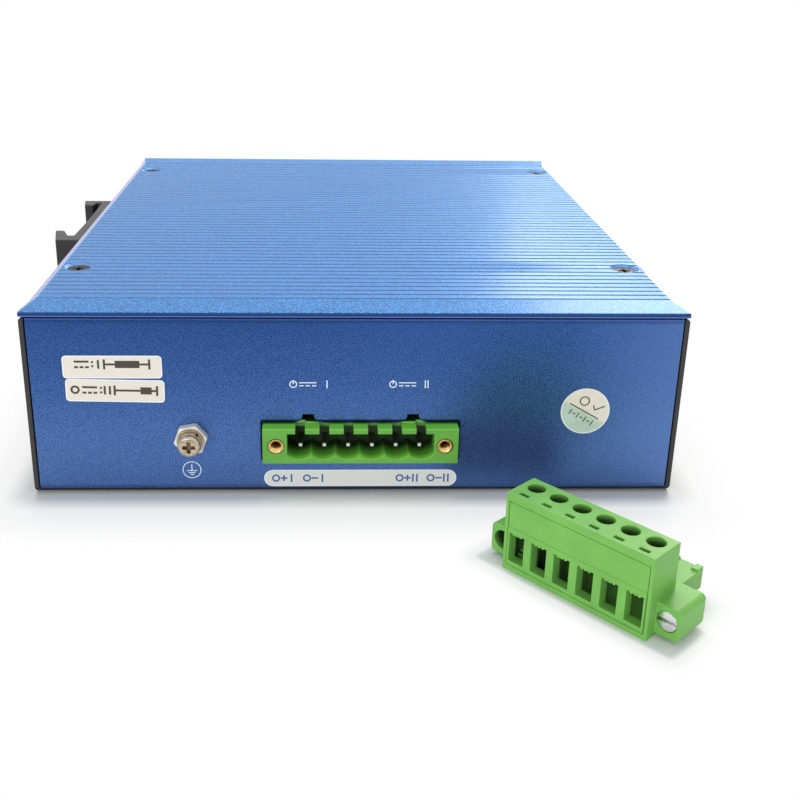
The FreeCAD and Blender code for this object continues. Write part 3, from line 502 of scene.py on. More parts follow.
def paper_film(name):
    """Cream label film with faint fibres and a little soiling."""
    cream = bpy.context.scene.print_look.film
    finish = Finish(name)
    fibre = finish.grain(0.0003, 3.0, finish.turned(scale=(0.4, 1.0, 1.0)))
    soil = finish.grain(0.004, 3.0).spread(0.45, 0.8, 0.0, 0.22)
    colour = finish.layered(shaded(cream, 0.965), (fibre.patchy(), cream), (soil, (0.74, 0.66, 0.52)))
    return finish.surface(
        Base_Color=colour, Roughness=fibre.gentle(0.38, 0.5), Normal=finish.bump(fibre, 0.000008))


def shimmer_film(name):
    """Inspection sticker: pearly film that runs from a pinkish cream down to mint, with a white rim that is a
    painted edge highlight.
    """
    look = bpy.context.scene.print_look
    x, z = look.round_place
    finish = Finish(name)
    across = finish.turned((0.0, -look.round_turn, 0.0), centre=(x, POWER_END, z))
    drift, film = finish.grain(0.005, 3.0), finish.grain(0.00035)
    cream = finish.mix(drift.spread(0.35, 0.65), (0.84, 0.74, 0.64), (0.80, 0.77, 0.66))
    mint = finish.mix(drift.spread(0.4, 0.6), (0.50, 0.62, 0.52), (0.56, 0.71, 0.62))
    low_half = (finish.axis("Z", across) + (drift - 0.5) * 0.0018).spread(0.0002, -0.0008)
    # White rim: painted edge highlight
    rim = finish.off_axis(across).spread(look.round_radius - 0.0004, look.round_radius - 0.0002, 0.0, 0.7)
    colour = finish.layered(cream, (low_half, mint), (rim, (0.88, 0.90, 0.90)))
    return finish.surface(
        Base_Color=colour, Metallic=0.15, Roughness=film.gentle(0.26, 0.4), Normal=finish.bump(film, 0.000008))


def film_rim(name):
    """White rim of a film: a painted edge highlight."""
    rim = bpy.context.scene.print_look.rim
    finish = Finish(name)
    fibre = finish.grain(0.0002)
    return finish.surface(
        Base_Color=finish.mix(fibre.patchy(), shaded(rim, 0.93), rim), Roughness=fibre.gentle(0.4, 0.55))


# Finishes with a function of their own, and those made alike: function, colour, share of that colour, settings
OWN = {make.__name__: make for make in (
    blue_anodised, ribbed_blue, bright_edge, dark_plate, copper_winding, lamp_lens, circuit_board, paper_film,
    shimmer_film, film_rim)}
ALIKE = {
    "green_plastic": (moulded, "plastic_look.header_green", 1.0, {
        "rough": 0.42, "hollow": socket_shade, "lit": socket_lit, "line": socket_edge_highlight}),
    "light_green_plastic": (moulded, "plastic_look.plug_green", 1.0, {
        "rough": 0.38, "shine": 0.3, "hollow": plug_shade}),
    "black_plastic": (moulded, "plastic_look.black", 1.0, {
        "rough": 0.46, "grain": 0.0005, "depth": 0.00002, "sheen": 1.5}),
    "ferrite": (moulded, "plastic_look.ferrite", 1.0, {
        "rough": 0.55, "grain": 0.0004, "depth": 0.00002, "sheen": 1.3}),
    "zinc_screw": (plated, "metal_look.zinc", 1.0, {
        "rough": 0.3, "tarnish": (0.34, 0.28, 0.18), "share": 0.15, "metal": 0.3, "hollow": nut_seat, "deep": 1.0}),
    "bright_zinc": (plated, "metal_look.bright", 1.0, {
        "rough": 0.16, "tarnish": (0.4, 0.4, 0.38), "share": 0.15, "grain": 0.0009}),
    "yellow_zinc": (plated, "metal_look.yellow", 1.0, {
        "rough": 0.24, "tarnish": (0.2, 0.13, 0.06), "share": 0.5}),
    "nickel_screw": (plated, "metal_look.nickel", 1.0, {
        "rough": 0.2, "tarnish": (0.42, 0.30, 0.16), "share": 0.5, "metal": 0.7, "hollow": earth_recess,
        "deep": 0.4}),
    "dark_screw": (plated, "metal_look.dark", 1.0, {
        "rough": 0.42, "tarnish": (0.02, 0.016, 0.012), "share": 0.6}),
    "tinned_pin": (plated, "metal_look.tin", 1.0, {
        "rough": 0.3, "tarnish": (0.13, 0.14, 0.11), "share": 0.05, "metal": 0.05, "hollow": pin_depth}),
    # Clamps in tin at 0.3: painted shade for clamps deep inside the plug's openings
    "tinned_clamp": (plated, "metal_look.tin", 0.3, {
        "rough": 0.3, "tarnish": (0.13, 0.12, 0.11), "share": 0.3, "hollow": plug_shade}),
    "brass_insert": (plated, "metal_look.brass", 1.0, {
        "rough": 0.22, "tarnish": (0.22, 0.11, 0.03), "share": 0.3, "hollow": insert_shade}),
    "jack_metal": (plated, "metal_look.sheet", 1.0, {
        "rough": 0.3, "tarnish": (0.4, 0.39, 0.36), "share": 0.2, "grain": 0.0008}),
    "gold_contact": (plated, "metal_look.gold", 1.0, {
        "rough": 0.2, "tarnish": (0.5, 0.3, 0.1), "share": 0.2}),
    "bare_aluminium": (plated, "metal_look.aluminium", 1.0, {
        "rough": 0.34, "tarnish": (0.45, 0.45, 0.45), "share": 0.2, "grain": 0.0006}),
    "white_ink": (ink, "print_look.white", 1.0, {"worn": 0.12}),
    "pill_ink": (ink, "print_look.pill", 1.0, {"worn": 0.06}),
    "blue_ink": (ink, "casing_look.blue", 0.9, {"worn": 0.0}),
    "label_ink": (ink, "print_look.label_ink", 1.0, {"worn": 0.1}),
}


def known(name):
    """The finish of this name, made on first use."""
    title = name + "_finish"
    if title in bpy.data.materials:
        return bpy.data.materials[title]
    if name in OWN:
        return OWN[name](title)
    make, colour, share, settings = ALIKE[name]
    return make(title, shaded(bpy.context.scene.path_resolve(colour), share), **settings)


# Modelling by hand


def alone(*pieces):
    """Leave only these objects selected, the last one active."""
    if bpy.context.object and bpy.context.object.mode != "OBJECT":
        done()
    bpy.ops.object.select_all(action="DESELECT")
    for piece in pieces:
        piece.select_set(True)
        bpy.context.view_layer.objects.active = piece


def named(name):
    """Name the object that an operator has just left active."""
    piece = bpy.context.object
    piece.name = name
    return piece


def editing(piece, mode="FACE", action="SELECT"):
    """Open a piece in edit mode with all or nothing selected, or with no action as it was."""
    alone(piece)
    bpy.ops.object.mode_set(mode="EDIT")
    bpy.ops.mesh.select_mode(type=mode)
    if action:
        bpy.ops.mesh.select_all(action=action)


def done():
    bpy.ops.object.mode_set(mode="OBJECT")


def placed(piece, matrix):
    """Move and turn a piece, and keep its place in its mesh."""
    piece.matrix_world = matrix
    alone(piece)
    bpy.ops.object.transform_apply(location=True, rotation=True, scale=True)
    return piece


def paint(piece, *finishes):
    piece.data.materials.clear()
    for finish in finishes:
        piece.data.materials.append(known(finish))


def settle(piece, slot, *nodes):
    """Give a finished piece its body and hide the CAD nodes that it stands for. The slot is not used."""
    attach(piece, BODY)
    if nodes:
        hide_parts(*nodes)
    return piece


def dress(finish, *nodes):
    """Give CAD nodes whose shape is right a better finish."""
    for name in nodes:
        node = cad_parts[name]
        if not node.material_slots:
            node.data.materials.append(known(finish))
        for slot in node.material_slots:
            slot.material = known(finish)


def softened(node, name, edge, clamp=False):
    """Copy of a CAD node, merged and given small rounded edges that stay inside the node's box."""
    piece = bpy.data.objects.new(name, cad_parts[node].data.copy())
    bpy.context.scene.collection.objects.link(piece)
    editing(piece, "EDGE")
    bpy.ops.mesh.remove_doubles(threshold=MERGE)
    bpy.ops.mesh.dissolve_limited(angle_limit=FLAT)
    bpy.ops.mesh.select_all(action="DESELECT")
    bpy.ops.mesh.edges_select_sharp(sharpness=SHARP)
    bpy.ops.mesh.bevel(offset=edge, segments=EDGE_STEPS, affect="EDGES", clamp_overlap=clamp)
    done()
    low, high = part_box(node)
    for vertex in piece.data.vertices:
        vertex.co = [min(max(value, least), most) for value, least, most in zip(vertex.co, low, high)]
    bpy.ops.object.shade_smooth_by_angle(angle=SMOOTH)
    # Large faces keep their own direction beside rounded edges
    normals = piece.modifiers.new("weigh", "WEIGHTED_NORMAL")
    normals.keep_sharp = True
    bpy.ops.object.modifier_apply(modifier=normals.name)
    return piece


def coated(node, name, edge, finish, slot=None, clamp=False):
    """Let a softened copy of a CAD node, with its finish, stand for the node."""
    piece = softened(node, name, edge, clamp)
    paint(piece, finish)
    return settle(piece, slot or finish, node)


def on_panel(piece, x, z, lift=GAP, turn=0.0):
    """Stand a flat piece, made in its own XY plane, on the power end."""
    spot = Matrix.Translation((x, POWER_END - lift, z))
    upright = Matrix.Rotation(math.radians(90), 4, "X")
    return placed(piece, spot @ upright @ Matrix.Rotation(turn, 4, "Z"))


def moved(piece, x, y, turn=0.0):
    """Shift a flat mark in its own XY plane, and turn it by degrees."""
    return placed(piece, Matrix.Translation((x, y, 0)) @ Matrix.Rotation(math.radians(turn), 4, "Z"))


def thicken(thick):
    """Give the flat faces of the piece in edit mode a thickness."""
    bpy.ops.mesh.select_all(action="SELECT")
    bpy.ops.mesh.extrude_region_move(TRANSFORM_OT_translate={"value": (0.0, 0.0, thick)})
    outwards()


def outwards():
    """Turn all faces of the piece in edit mode outwards, and leave edit mode."""
    bpy.ops.mesh.select_all(action="SELECT")
    bpy.ops.mesh.normals_make_consistent(inside=False)
    done()


def scaled(factor):
    """Scale what is selected in edit mode about the Z axis."""
    bpy.ops.transform.resize(value=(factor, factor, 1.0))


def film(name, width, height, radius, thick):
    """Thin flat film with rounded corners, in its own XY plane."""
    alone()
    bpy.ops.mesh.primitive_plane_add(size=1.0)
    piece = named(name)
    editing(piece, "VERT")
    bpy.ops.transform.resize(value=(width, height, 1.0))
    if radius:
        bpy.ops.mesh.bevel(offset=radius, segments=8, affect="VERTICES")
    thicken(thick)
    return piece


def ring(name, radius, width, thick):
    """Flat ring in its own XY plane."""
    alone()
    bpy.ops.mesh.primitive_circle_add(vertices=64, radius=radius, fill_type="NOTHING")
    piece = named(name)
    editing(piece, "EDGE")
    bpy.ops.mesh.extrude_edges_move()
    scaled((radius - width) / radius)
    thicken(thick)
    return piece


def lathed(name, steps, sides):
    """Closed hollow piece round its own Z axis: a circle extruded through steps of radius and height."""
    alone()
    bpy.ops.mesh.primitive_circle_add(vertices=sides, radius=steps[0][0], fill_type="NOTHING")
    piece = named(name)
    editing(piece, "EDGE")
    bpy.ops.transform.translate(value=(0.0, 0.0, steps[0][1]))
    for (radius, level), (new_radius, new_level) in zip(steps, steps[1:]):
        bpy.ops.mesh.extrude_edges_move(TRANSFORM_OT_translate={"value": (0.0, 0.0, new_level - level)})
        scaled(new_radius / radius)
    bpy.ops.mesh.select_all(action="DESELECT")
    bpy.ops.mesh.select_non_manifold()
    bpy.ops.mesh.bridge_edge_loops()
    outwards()
    return piece


def knurled(piece, radius, depth, sides):
    """Press every second corner of the widest loops inwards."""
    editing(piece, "VERT", "DESELECT")
    done()
    for vertex in piece.data.vertices:
        step = round(math.atan2(vertex.co.y, vertex.co.x) / math.tau * sides)
        vertex.select = vertex.co.xy.length > radius - 1e-6 and step % 2 == 1
    editing(piece, "VERT", None)
    scaled((radius - depth) / radius)
    done()


def rimmed(piece, width):
    """Set off a narrow rim on a film's front, and give it and the cut edge the second finish."""
    editing(piece, action="DESELECT")
    done()
    top = max(face.center.z for face in piece.data.polygons)
    for face in piece.data.polygons:
        face.select = face.center.z > top - 1e-6
    bpy.ops.object.mode_set(mode="EDIT")
    bpy.ops.mesh.inset(thickness=width)
    done()
    for face in piece.data.polygons:
        face.material_index = 0 if face.select else 1


def joined(name, pieces):
    alone(*pieces)
    bpy.ops.object.join()
    return named(name)


# Flat marks, each with its strokes' width and thickness


def bar(name, x, y, width, height, thick):
    return moved(film(name, width, height, 0.0, thick), x, y)


def dot(x, y, size, thick):
    return moved(film("dot", size, size, size * ROUND, thick), x, y)


def circle(x, y, radius, stroke, thick):
    return moved(ring("ring", radius, stroke, thick), x, y)


def direct_current(x, y, width, stroke, thick):
    """Sign for direct current: a line over three dashes."""
    dash, rise = width * 0.26, stroke * 1.4
    return [bar("line", x, y + rise, width, stroke, thick),
            *(bar("dash", x + step * (width - dash) / 2, y - rise, dash, stroke, thick) for step in (-1, 0, 1))]


def strokes(x, y, count, height, stroke, thick):
    """Count marks: one upright stroke each."""
    return [bar("stroke", x + (k - (count - 1) / 2) * stroke * 2.4, y, stroke, height, thick) for k in range(count)]


def range_bar(start, end, low, high, y, stroke, thick):
    """Scale from start to end with end ticks, filled between low and high."""
    tick, over = stroke * 5.0, thick * CROSSING
    return [bar("scale", (start + end) / 2, y, end - start, stroke, thick),
            bar("scale_start", start, y, stroke, tick, over), bar("scale_end", end, y, stroke, tick, over),
            bar("scale_field", (low + high) / 2, y, high - low, tick * 0.72, over)]


def printed(name, marks, finish, place, lift=GAP, turn=0.0):
    """Join flat marks and print them on the panel in one ink."""
    piece = on_panel(joined(name, marks), *place, lift, turn)
    paint(piece, finish)
    return settle(piece, "printed_ink")


def laid(piece, finish, rim, slot, place, turn=0.0):
    """Lay a film with a white rim, a painted edge highlight, on the panel."""
    paint(piece, finish, "film_rim")
    rimmed(piece, rim)
    return settle(on_panel(piece, *place, turn=turn), slot)


# Properties


def colour_prop(name, description, *default):
    return bpy.props.FloatVectorProperty(
        name=name, description=description, default=default, subtype="COLOR", min=0.0, max=1.0)


def length_prop(name, description, default):
    return bpy.props.FloatProperty(name=name, description=description, default=default, unit="LENGTH")


def lengths_prop(name, description, *default):
    return bpy.props.FloatVectorProperty(
        name=name, description=description, default=default, size=len(default), unit="LENGTH")


def angle_prop(name, description, degrees):
    return bpy.props.FloatProperty(
        name=name, description=description, default=math.radians(degrees), unit="ROTATION")


def power_prop(name, description, default):
    return bpy.props.FloatProperty(name=name, description=description, default=default, unit="POWER")


def level_prop(name, description, default):
    return bpy.props.FloatProperty(name=name, description=description, default=default, subtype="FACTOR")


class CasingLook(bpy.types.PropertyGroup):
    """Finish of the casing's sheet metal"""

    blue: colour_prop("Blue", "Dyed oxide of the tray and cover", 0.060, 0.142, 0.385)
    # Also painted as light on the tray's lower part and right end
    pale: colour_prop("Pale grain", "Brightest grains of the tray", 0.15, 0.26, 0.56)
    cover_blue: colour_prop("Cover blue", "Dyed oxide of the ribbed cover", 0.012, 0.150, 0.46)
    cover_pale: colour_prop("Pale cover grain", "Brightest grains of the cover", 0.10, 0.33, 0.70)
    # Painted shade: the top of the tray's ends, under the cover's rim and on the rim
    deep: colour_prop("Deep blue", "Top of the tray's ends and the cover's rim", 0.020, 0.076, 0.31)
    # Painted sheen on the ribs
    rib: colour_prop("Rib", "Rubbed ribs between the cover's grooves", 0.11, 0.22, 0.45)
    # Groove walls painted lighter than the cover: painted light against their shade
    groove: colour_prop("Groove", "Walls of the cover's grooves", 0.16, 0.33, 0.66)
    cover_sheen: colour_prop("Cover sheen", "Tint of the cover's gloss at flat angles", 0.28, 0.80, 1.0)
    # Paler line: a painted highlight along the tray's top edge, and a line along the lower edge of the cover's rim
    worn: colour_prop("Worn line", "Rubbed edges of the tray and the cover's rim", 0.12, 0.20, 0.52)
    edge: colour_prop("Edge", "Chamfers cut along the cover's long sides", 0.45, 0.48, 0.72)
    # Painted shade on the fold at the tray's foot
    fold: colour_prop("Fold", "Dull dark fold at the tray's foot", 0.016, 0.018, 0.045)
    plate: colour_prop("Plate", "Powder coat of the side plates", 0.026, 0.024, 0.023)
    grain: length_prop("Grain", "Size of the tray's blasted grain", 0.00021)
    cover_grain: length_prop("Cover grain", "Size of the cover's blasted grain", 0.00042)
    plain_band: length_prop("Plain band", "Smooth band at both ends of the cover", 0.0093)
    edge_round: length_prop("Edge round", "Rounding of cut and folded edges", 0.00012)
    groove_round: length_prop("Groove round", "Rounding of the cover's groove edges", 0.00008)


class PlasticLook(bpy.types.PropertyGroup):
    """Colours and edges of the moulded pieces"""

    header_green: colour_prop("Connector green", "Power connector in the panel", 0.115, 0.39, 0.040)
    plug_green: colour_prop("Plug green", "Pluggable half of the connector", 0.180, 0.475, 0.090)
    black: colour_prop("Black", "Rail clip and port housings", 0.012, 0.012, 0.013)
    ferrite: colour_prop("Ferrite", "Cores of the coils and the transformer", 0.045, 0.045, 0.05)
    edge_round: length_prop("Edge round", "Rounding of moulded edges", 0.00016)


class MetalLook(bpy.types.PropertyGroup):
    """Colours of screws, pins and sheet"""

    zinc: colour_prop("Zinc", "Nut and board screws", 0.92, 0.90, 0.84)
    bright: colour_prop("Bright zinc", "Flange screws of the plug", 0.88, 0.88, 0.87)
    yellow: colour_prop("Yellow zinc", "Washers of the earth terminal", 0.60, 0.47, 0.29)
    nickel: colour_prop("Nickel", "Earth screw", 0.66, 0.56, 0.41)
    dark: colour_prop("Dark zinc", "Casing and clip screws", 0.062, 0.055, 0.050)
    tin: colour_prop("Tin", "Connector pins and clamps", 0.95, 0.95, 0.92)
    brass: colour_prop("Brass", "Threaded inserts", 0.95, 0.68, 0.28)
    sheet: colour_prop("Sheet", "Port shields and cages", 0.72, 0.72, 0.70)
    gold: colour_prop("Gold", "Port contacts", 0.90, 0.66, 0.24)
    aluminium: colour_prop("Aluminium", "Heatsink, cans and tapped blocks", 0.76, 0.77, 0.78)
    copper: colour_prop("Copper", "Transformer winding", 0.66, 0.28, 0.10)


class PrintLook(bpy.types.PropertyGroup):
    """Stickers and print on the power end"""

    film: colour_prop("Film", "Cream film of the two stickers", 0.80, 0.755, 0.665)
    label_ink: colour_prop("Sticker ink", "Marks on the stickers", 0.060, 0.048, 0.034)
    white: colour_prop("White ink", "Marks on the panel", 0.72, 0.82, 0.94)
    # Painted edge highlight round the stickers and the pill
    rim: colour_prop("Film rim", "Cut edge of the stickers and the pill", 0.95, 0.95, 0.94)
    pill: colour_prop("Pill", "Pale field under the connector", 0.73, 0.73, 0.70)
    sticker_size: lengths_prop("Sticker size", "Width and height of a sticker", 0.0203, 0.0050)
    sticker_round: length_prop("Sticker corner", "Rounding of the stickers' corners", 0.0008)
    sticker_thick: length_prop("Sticker thickness", "Film and glue", 0.00012)
    sticker_rim: length_prop("Sticker rim", "Width of the stickers' white rim", 0.0002)
    sticker_stroke: length_prop("Sticker stroke", "Width of strokes on the two stickers", 0.00044)
    ink_thick: length_prop("Ink thickness", "Printed ink", 0.00003)
    upper_place: lengths_prop("Upper sticker", "Middle across and up the panel", -0.05025, 0.02947)
    lower_place: lengths_prop("Lower sticker", "Middle across and up the panel", -0.04995, 0.02418)
    lower_turn: angle_prop("Lower sticker turn", "How far it is stuck on askew", -1.03132)
    round_place: lengths_prop("Round sticker", "Middle across and up the panel", 0.04833, 0.0195)
    round_radius: length_prop("Round sticker radius", "Outer radius", 0.0052)
    round_turn: angle_prop("Round sticker turn", "Clockwise turn", 30.0)
    fine_stroke: length_prop("Fine stroke", "Width of strokes on the round sticker and in the captions", 0.00024)
    pill_size: lengths_prop("Pill size", "Width and height of the pale field", 0.0413, 0.0039)
    pill_place: lengths_prop("Pill place", "Middle across and up the panel", 0.00106, 0.00378)
    pill_rim: length_prop("Pill rim", "Width of the pale field's white rim", 0.00016)
    pole_stroke: length_prop("Pole stroke", "Width of strokes on the pale field", 0.00036)
    caption_height: length_prop("Caption height", "Height of the white marks", 0.00178)
    caption_places: lengths_prop("Captions", "Middle of both captions across the panel, and their height up it",
                                 -0.0098, 0.01095, 0.02563)
    earth_place: lengths_prop("Earth mark", "Middle across and up the panel", -0.0349, 0.00582)
    earth_radius: length_prop("Earth mark radius", "Outer radius of its ring", 0.0020)
    earth_stroke: length_prop("Earth mark stroke", "Width of its bars", 0.0002)


class StageLook(bpy.types.PropertyGroup):
    """Camera, light and floor"""

    place: lengths_prop("Camera place", "Camera in the part's frame", -0.006743, -0.28088, 0.112106)
    pitch: angle_prop("Pitch", "Below level", 19.779)
    yaw: angle_prop("Yaw", "To the left", -2.0525)
    roll: angle_prop("Roll", "About the view", 0.8347)
    focal: bpy.props.FloatProperty(
        name="Focal length", description="On a 36 mm sensor", unit="CAMERA", default=47.275)
    shift: bpy.props.FloatVectorProperty(
        name="Shift", description="Lens shift, as a share of the frame", size=2, default=(0.05, -0.10))
    sky: level_prop("Sky", "Level of the even light", 0.6)
    overhead: power_prop("Overhead", "Overhead light", 5.5)
    side: power_prop("Side", "Light from the right, behind", 4.5)
    warm: colour_prop("Warm light", "Colour of the light from the right", 1.0, 0.92, 0.82)
    front: power_prop("Front", "Light from the front left", 6.0)
    shadow_reach: length_prop("Shadow reach", "From here out the floor is plain white", 0.021)
    card: level_prop("Card", "Grey level of the card behind the camera", 0.16)
    # The flag stands in for shade in the panel's reflection of the plug
    flag: level_prop("Flag", "Grey level of the card before the panel", 0.18)


# Operators, one for each piece or group of like pieces


class SWITCH_OT_tray(bpy.types.Operator):
    """Folded tray with rounded edges and blasted blue finish"""

    bl_idname = "switch.tray"
    bl_label = "Base tray"

    def execute(self, context):
        coated("base_tray", "tray", context.scene.casing_look.edge_round, "blue_anodised", clamp=True)
        return {"FINISHED"}


class SWITCH_OT_cover(bpy.types.Operator):
    """Ribbed cover with bright chamfers along its long sides"""

    bl_idname = "switch.cover"
    bl_label = "Ribbed cover"

    def execute(self, context):
        piece = softened("ribbed_cover", "cover", context.scene.casing_look.groove_round)
        paint(piece, "ribbed_blue", "bright_edge")
        settle(piece, "blue_anodised", "ribbed_cover")
        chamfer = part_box("ribbed_cover")[1].x - 0.0018
        for face in piece.data.polygons:
            if abs(face.normal.x) > 0.25 and face.normal.z > 0.3 and abs(face.center.x) > chamfer:
                face.material_index = 1
        return {"FINISHED"}


class SWITCH_OT_plates(bpy.types.Operator):
    """Powder-coated side plates"""

    bl_idname = "switch.plates"
    bl_label = "Side plates"

    def execute(self, context):
        for node in ("front_plate", "rear_plate"):
            coated(node, node + "_coated", context.scene.casing_look.edge_round, "dark_plate")
        return {"FINISHED"}


class SWITCH_OT_screws(bpy.types.Operator):
    """Casing and clip screws with worn plating"""

    bl_idname = "switch.screws"
    bl_label = "Casing screws"

    def execute(self, context):
        for node in ("cover_screws", "base_screws", "clip_screws"):
            coated(node, node + "_plated", 0.00008, "dark_screw")
        return {"FINISHED"}


class SWITCH_OT_header(bpy.types.Operator):
    """Green power connector, its pins and its brass inserts"""

    bl_idname = "switch.header"
    bl_label = "Power connector"

    def execute(self, context):
        coated("power_header", "header", 0.0001, "green_plastic")
        coated("header_pins", "pins", 0.00005, "tinned_pin")
        inserts = self.inserts()
        paint(inserts, "brass_insert")
        settle(inserts, "brass_insert", "header_inserts")
        return {"FINISHED"}

    def inserts(self):
        """Two knurled brass inserts with a thread cut in their bores."""
        low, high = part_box("header_inserts")
        outer, bore, crest, knurl = (high.z - low.z) / 2, 0.00105, 0.00128, 0.0004
        pitch, turns, start, sides = 0.00045, 9, 0.0003, 44
        steps = [(outer, -0.00002), (outer - 0.0003, 0.0), (crest + 0.0001, 0.0), (crest, -0.00005), (bore, -start)]
        for turn in range(turns):
            steps += [(crest, -start - (turn + 0.5) * pitch), (bore, -start - (turn + 1) * pitch)]
        steps += [(bore, low.y - high.y), (outer, low.y - high.y)]
        first = lathed("insert", steps, sides)
        knurled(first, outer, knurl, sides)
        second = first.copy()
        second.data = first.data.copy()
        bpy.context.scene.collection.objects.link(second)
        middle, lift = (low.z + high.z) / 2, POWER_END - low.y
        pair = joined("inserts", [on_panel(first, low.x + outer, middle, lift),
                                  on_panel(second, high.x - outer, middle, lift)])
        bpy.ops.object.shade_smooth_by_angle(angle=math.radians(25))
        return pair


class SWITCH_OT_earth(bpy.types.Operator):
    """Earth screw with its nut and washers"""

    bl_idname = "switch.earth"
    bl_label = "Earth terminal"

    def execute(self, context):
        for node, edge, finish, slot in (
                ("earth_nut", 0.0003, "zinc_screw", "zinc_screw"),
                ("earth_washer", 0.00012, "yellow_zinc", "zinc_screw"),
                ("earth_spring_washer", 0.00012, "yellow_zinc", "zinc_screw"),
                ("earth_screw", 0.0001, "nickel_screw", "nickel_screw")):
            coated(node, node + "_plated", edge, finish, slot)
        return {"FINISHED"}


class SWITCH_OT_clip(bpy.types.Operator):
    """Black rail clip"""

    bl_idname = "switch.clip"
    bl_label = "Rail clip"

    def execute(self, context):
        coated("rail_clip", "clip", 0.0003, "black_plastic")
        return {"FINISHED"}


class SWITCH_OT_ports(bpy.types.Operator):
    """Network jacks, fibre cages and lamps on the port side"""

    bl_idname = "switch.ports"
    bl_label = "Port side"

    def execute(self, context):
        dress("black_plastic", "fibre_sockets", "lamp_block")
        for index in range(1, 5):
            coated(f"jack_body_{index}", f"jack_{index}", 0.0001, "black_plastic")
            dress("jack_metal", f"jack_shield_{index}")
        dress("jack_metal", "fibre_cage")
        dress("gold_contact", "jack_contacts")
        dress("lamp_lens", "lamps")
        return {"FINISHED"}


class SWITCH_OT_inside(bpy.types.Operator):
    """Circuit board and the parts inside the casing"""

    bl_idname = "switch.inside"
    bl_label = "Inside"

    def execute(self, context):
        dress("circuit_board", "main_board")
        dress("bare_aluminium", "cover_blocks", "base_blocks", "chip_heatsink", "capacitors")
        dress("zinc_screw", "board_standoffs", "board_screws")
        dress("black_plastic", "switch_chip", "power_controllers")
        dress("ferrite", "power_coils", "transformer_core")
        dress("copper_winding", "transformer_winding")
        return {"FINISHED"}


class SWITCH_OT_plug(bpy.types.Operator):
    """Pluggable half of the power connector"""

    bl_idname = "switch.plug"
    bl_label = "Power plug"

    def execute(self, context):
        coated("plug_housing", "plug", context.scene.plastic_look.edge_round, "light_green_plastic")
        coated("plug_wire_face", "plug_face", 0.00008, "light_green_plastic")
        dress("tinned_clamp", "plug_clamps", "plug_contacts")
        dress("bright_zinc", "plug_clamp_screws")
        coated("plug_flange_screws", "flange_screws", 0.00012, "bright_zinc", "zinc_screw")
        return {"FINISHED"}


class SWITCH_OT_stickers(bpy.types.Operator):
    """Two cream stickers and the round pearly one"""

    bl_idname = "switch.stickers"
    bl_label = "Stickers"

    def execute(self, context):
        look = context.scene.print_look
        line, thick = look.sticker_stroke, look.ink_thick
        upper = self.row(look, 0.0006, sign=-0.0062, colon=-0.0040, dots=(0.0002, 0.0011), tally=-0.0028, count=1,
                         scale=(-0.0016, 0.0076), field=(0.0006, 0.0056))
        lower = [circle(-0.0082, 0.0001, 0.00095, line, thick)]
        lower += self.row(look, 0.0001, sign=-0.0052, colon=-0.0029, dots=(-0.0004, 0.0006), tally=-0.0016, count=2,
                          scale=(-0.0001, 0.0086), field=(0.0052, 0.0075))
        self.sticker(look, "upper", look.upper_place, upper, 0.0)
        self.sticker(look, "lower", look.lower_place, lower, look.lower_turn)
        self.round_sticker(look)
        return {"FINISHED"}

    def row(self, look, y, sign, colon, dots, tally, count, scale, field):
        """Marks in a row: direct current, two dots, count strokes and a scale with a filled field."""
        line, thick = look.sticker_stroke, look.ink_thick
        return [*direct_current(sign, y, 0.0030, line, thick),
                *(dot(colon, level, 0.0005, thick) for level in dots),
                *strokes(tally, y, count, 0.0019, line, thick),
                *range_bar(*scale, *field, y, line, thick)]

    def sticker(self, look, row, place, marks, turn):
        label = film("sticker_" + row, *look.sticker_size, look.sticker_round, look.sticker_thick)
        laid(label, "paper_film", look.sticker_rim, "label_film", place, turn)
        printed("sticker_marks_" + row, marks, "label_ink", place, GAP + look.sticker_thick, turn)

    def round_sticker(self, look):
        """Pearly film with a ring, a tick, a rule and a row of upright and level marks."""
        alone()
        bpy.ops.mesh.primitive_circle_add(vertices=72, radius=look.round_radius, fill_type="NGON")
        label = named("sticker_round")
        editing(label)
        thicken(look.sticker_thick)
        on_panel(label, *look.round_place, turn=-look.round_turn)
        paint(label, "shimmer_film")
        settle(label, "label_film")
        line, thick = look.fine_stroke, look.ink_thick
        marks = [bar("rule", -0.0002, -0.0001, 0.0072, line, thick),
                 circle(-0.0014, 0.0019, 0.00108, line, thick),
                 moved(bar("short", 0.0, 0.0, 0.0011, line, thick), 0.00115, 0.00165, -45.0),
                 moved(bar("long", 0.0, 0.0, 0.0023, line, thick * CROSSING), 0.00225, 0.00212, 52.0)]
        sizes = ((0.00022, 0.0013), (0.0007, 0.00022))  # upright and level, in turn
        start, step, height, count = -0.0027, 0.0009, -0.0016, 7
        marks += [bar("mark", start + k * step, height, *sizes[k % 2], thick) for k in range(count)]
        printed("sticker_marks_round", marks, "label_ink", look.round_place, GAP + look.sticker_thick,
                -look.round_turn)


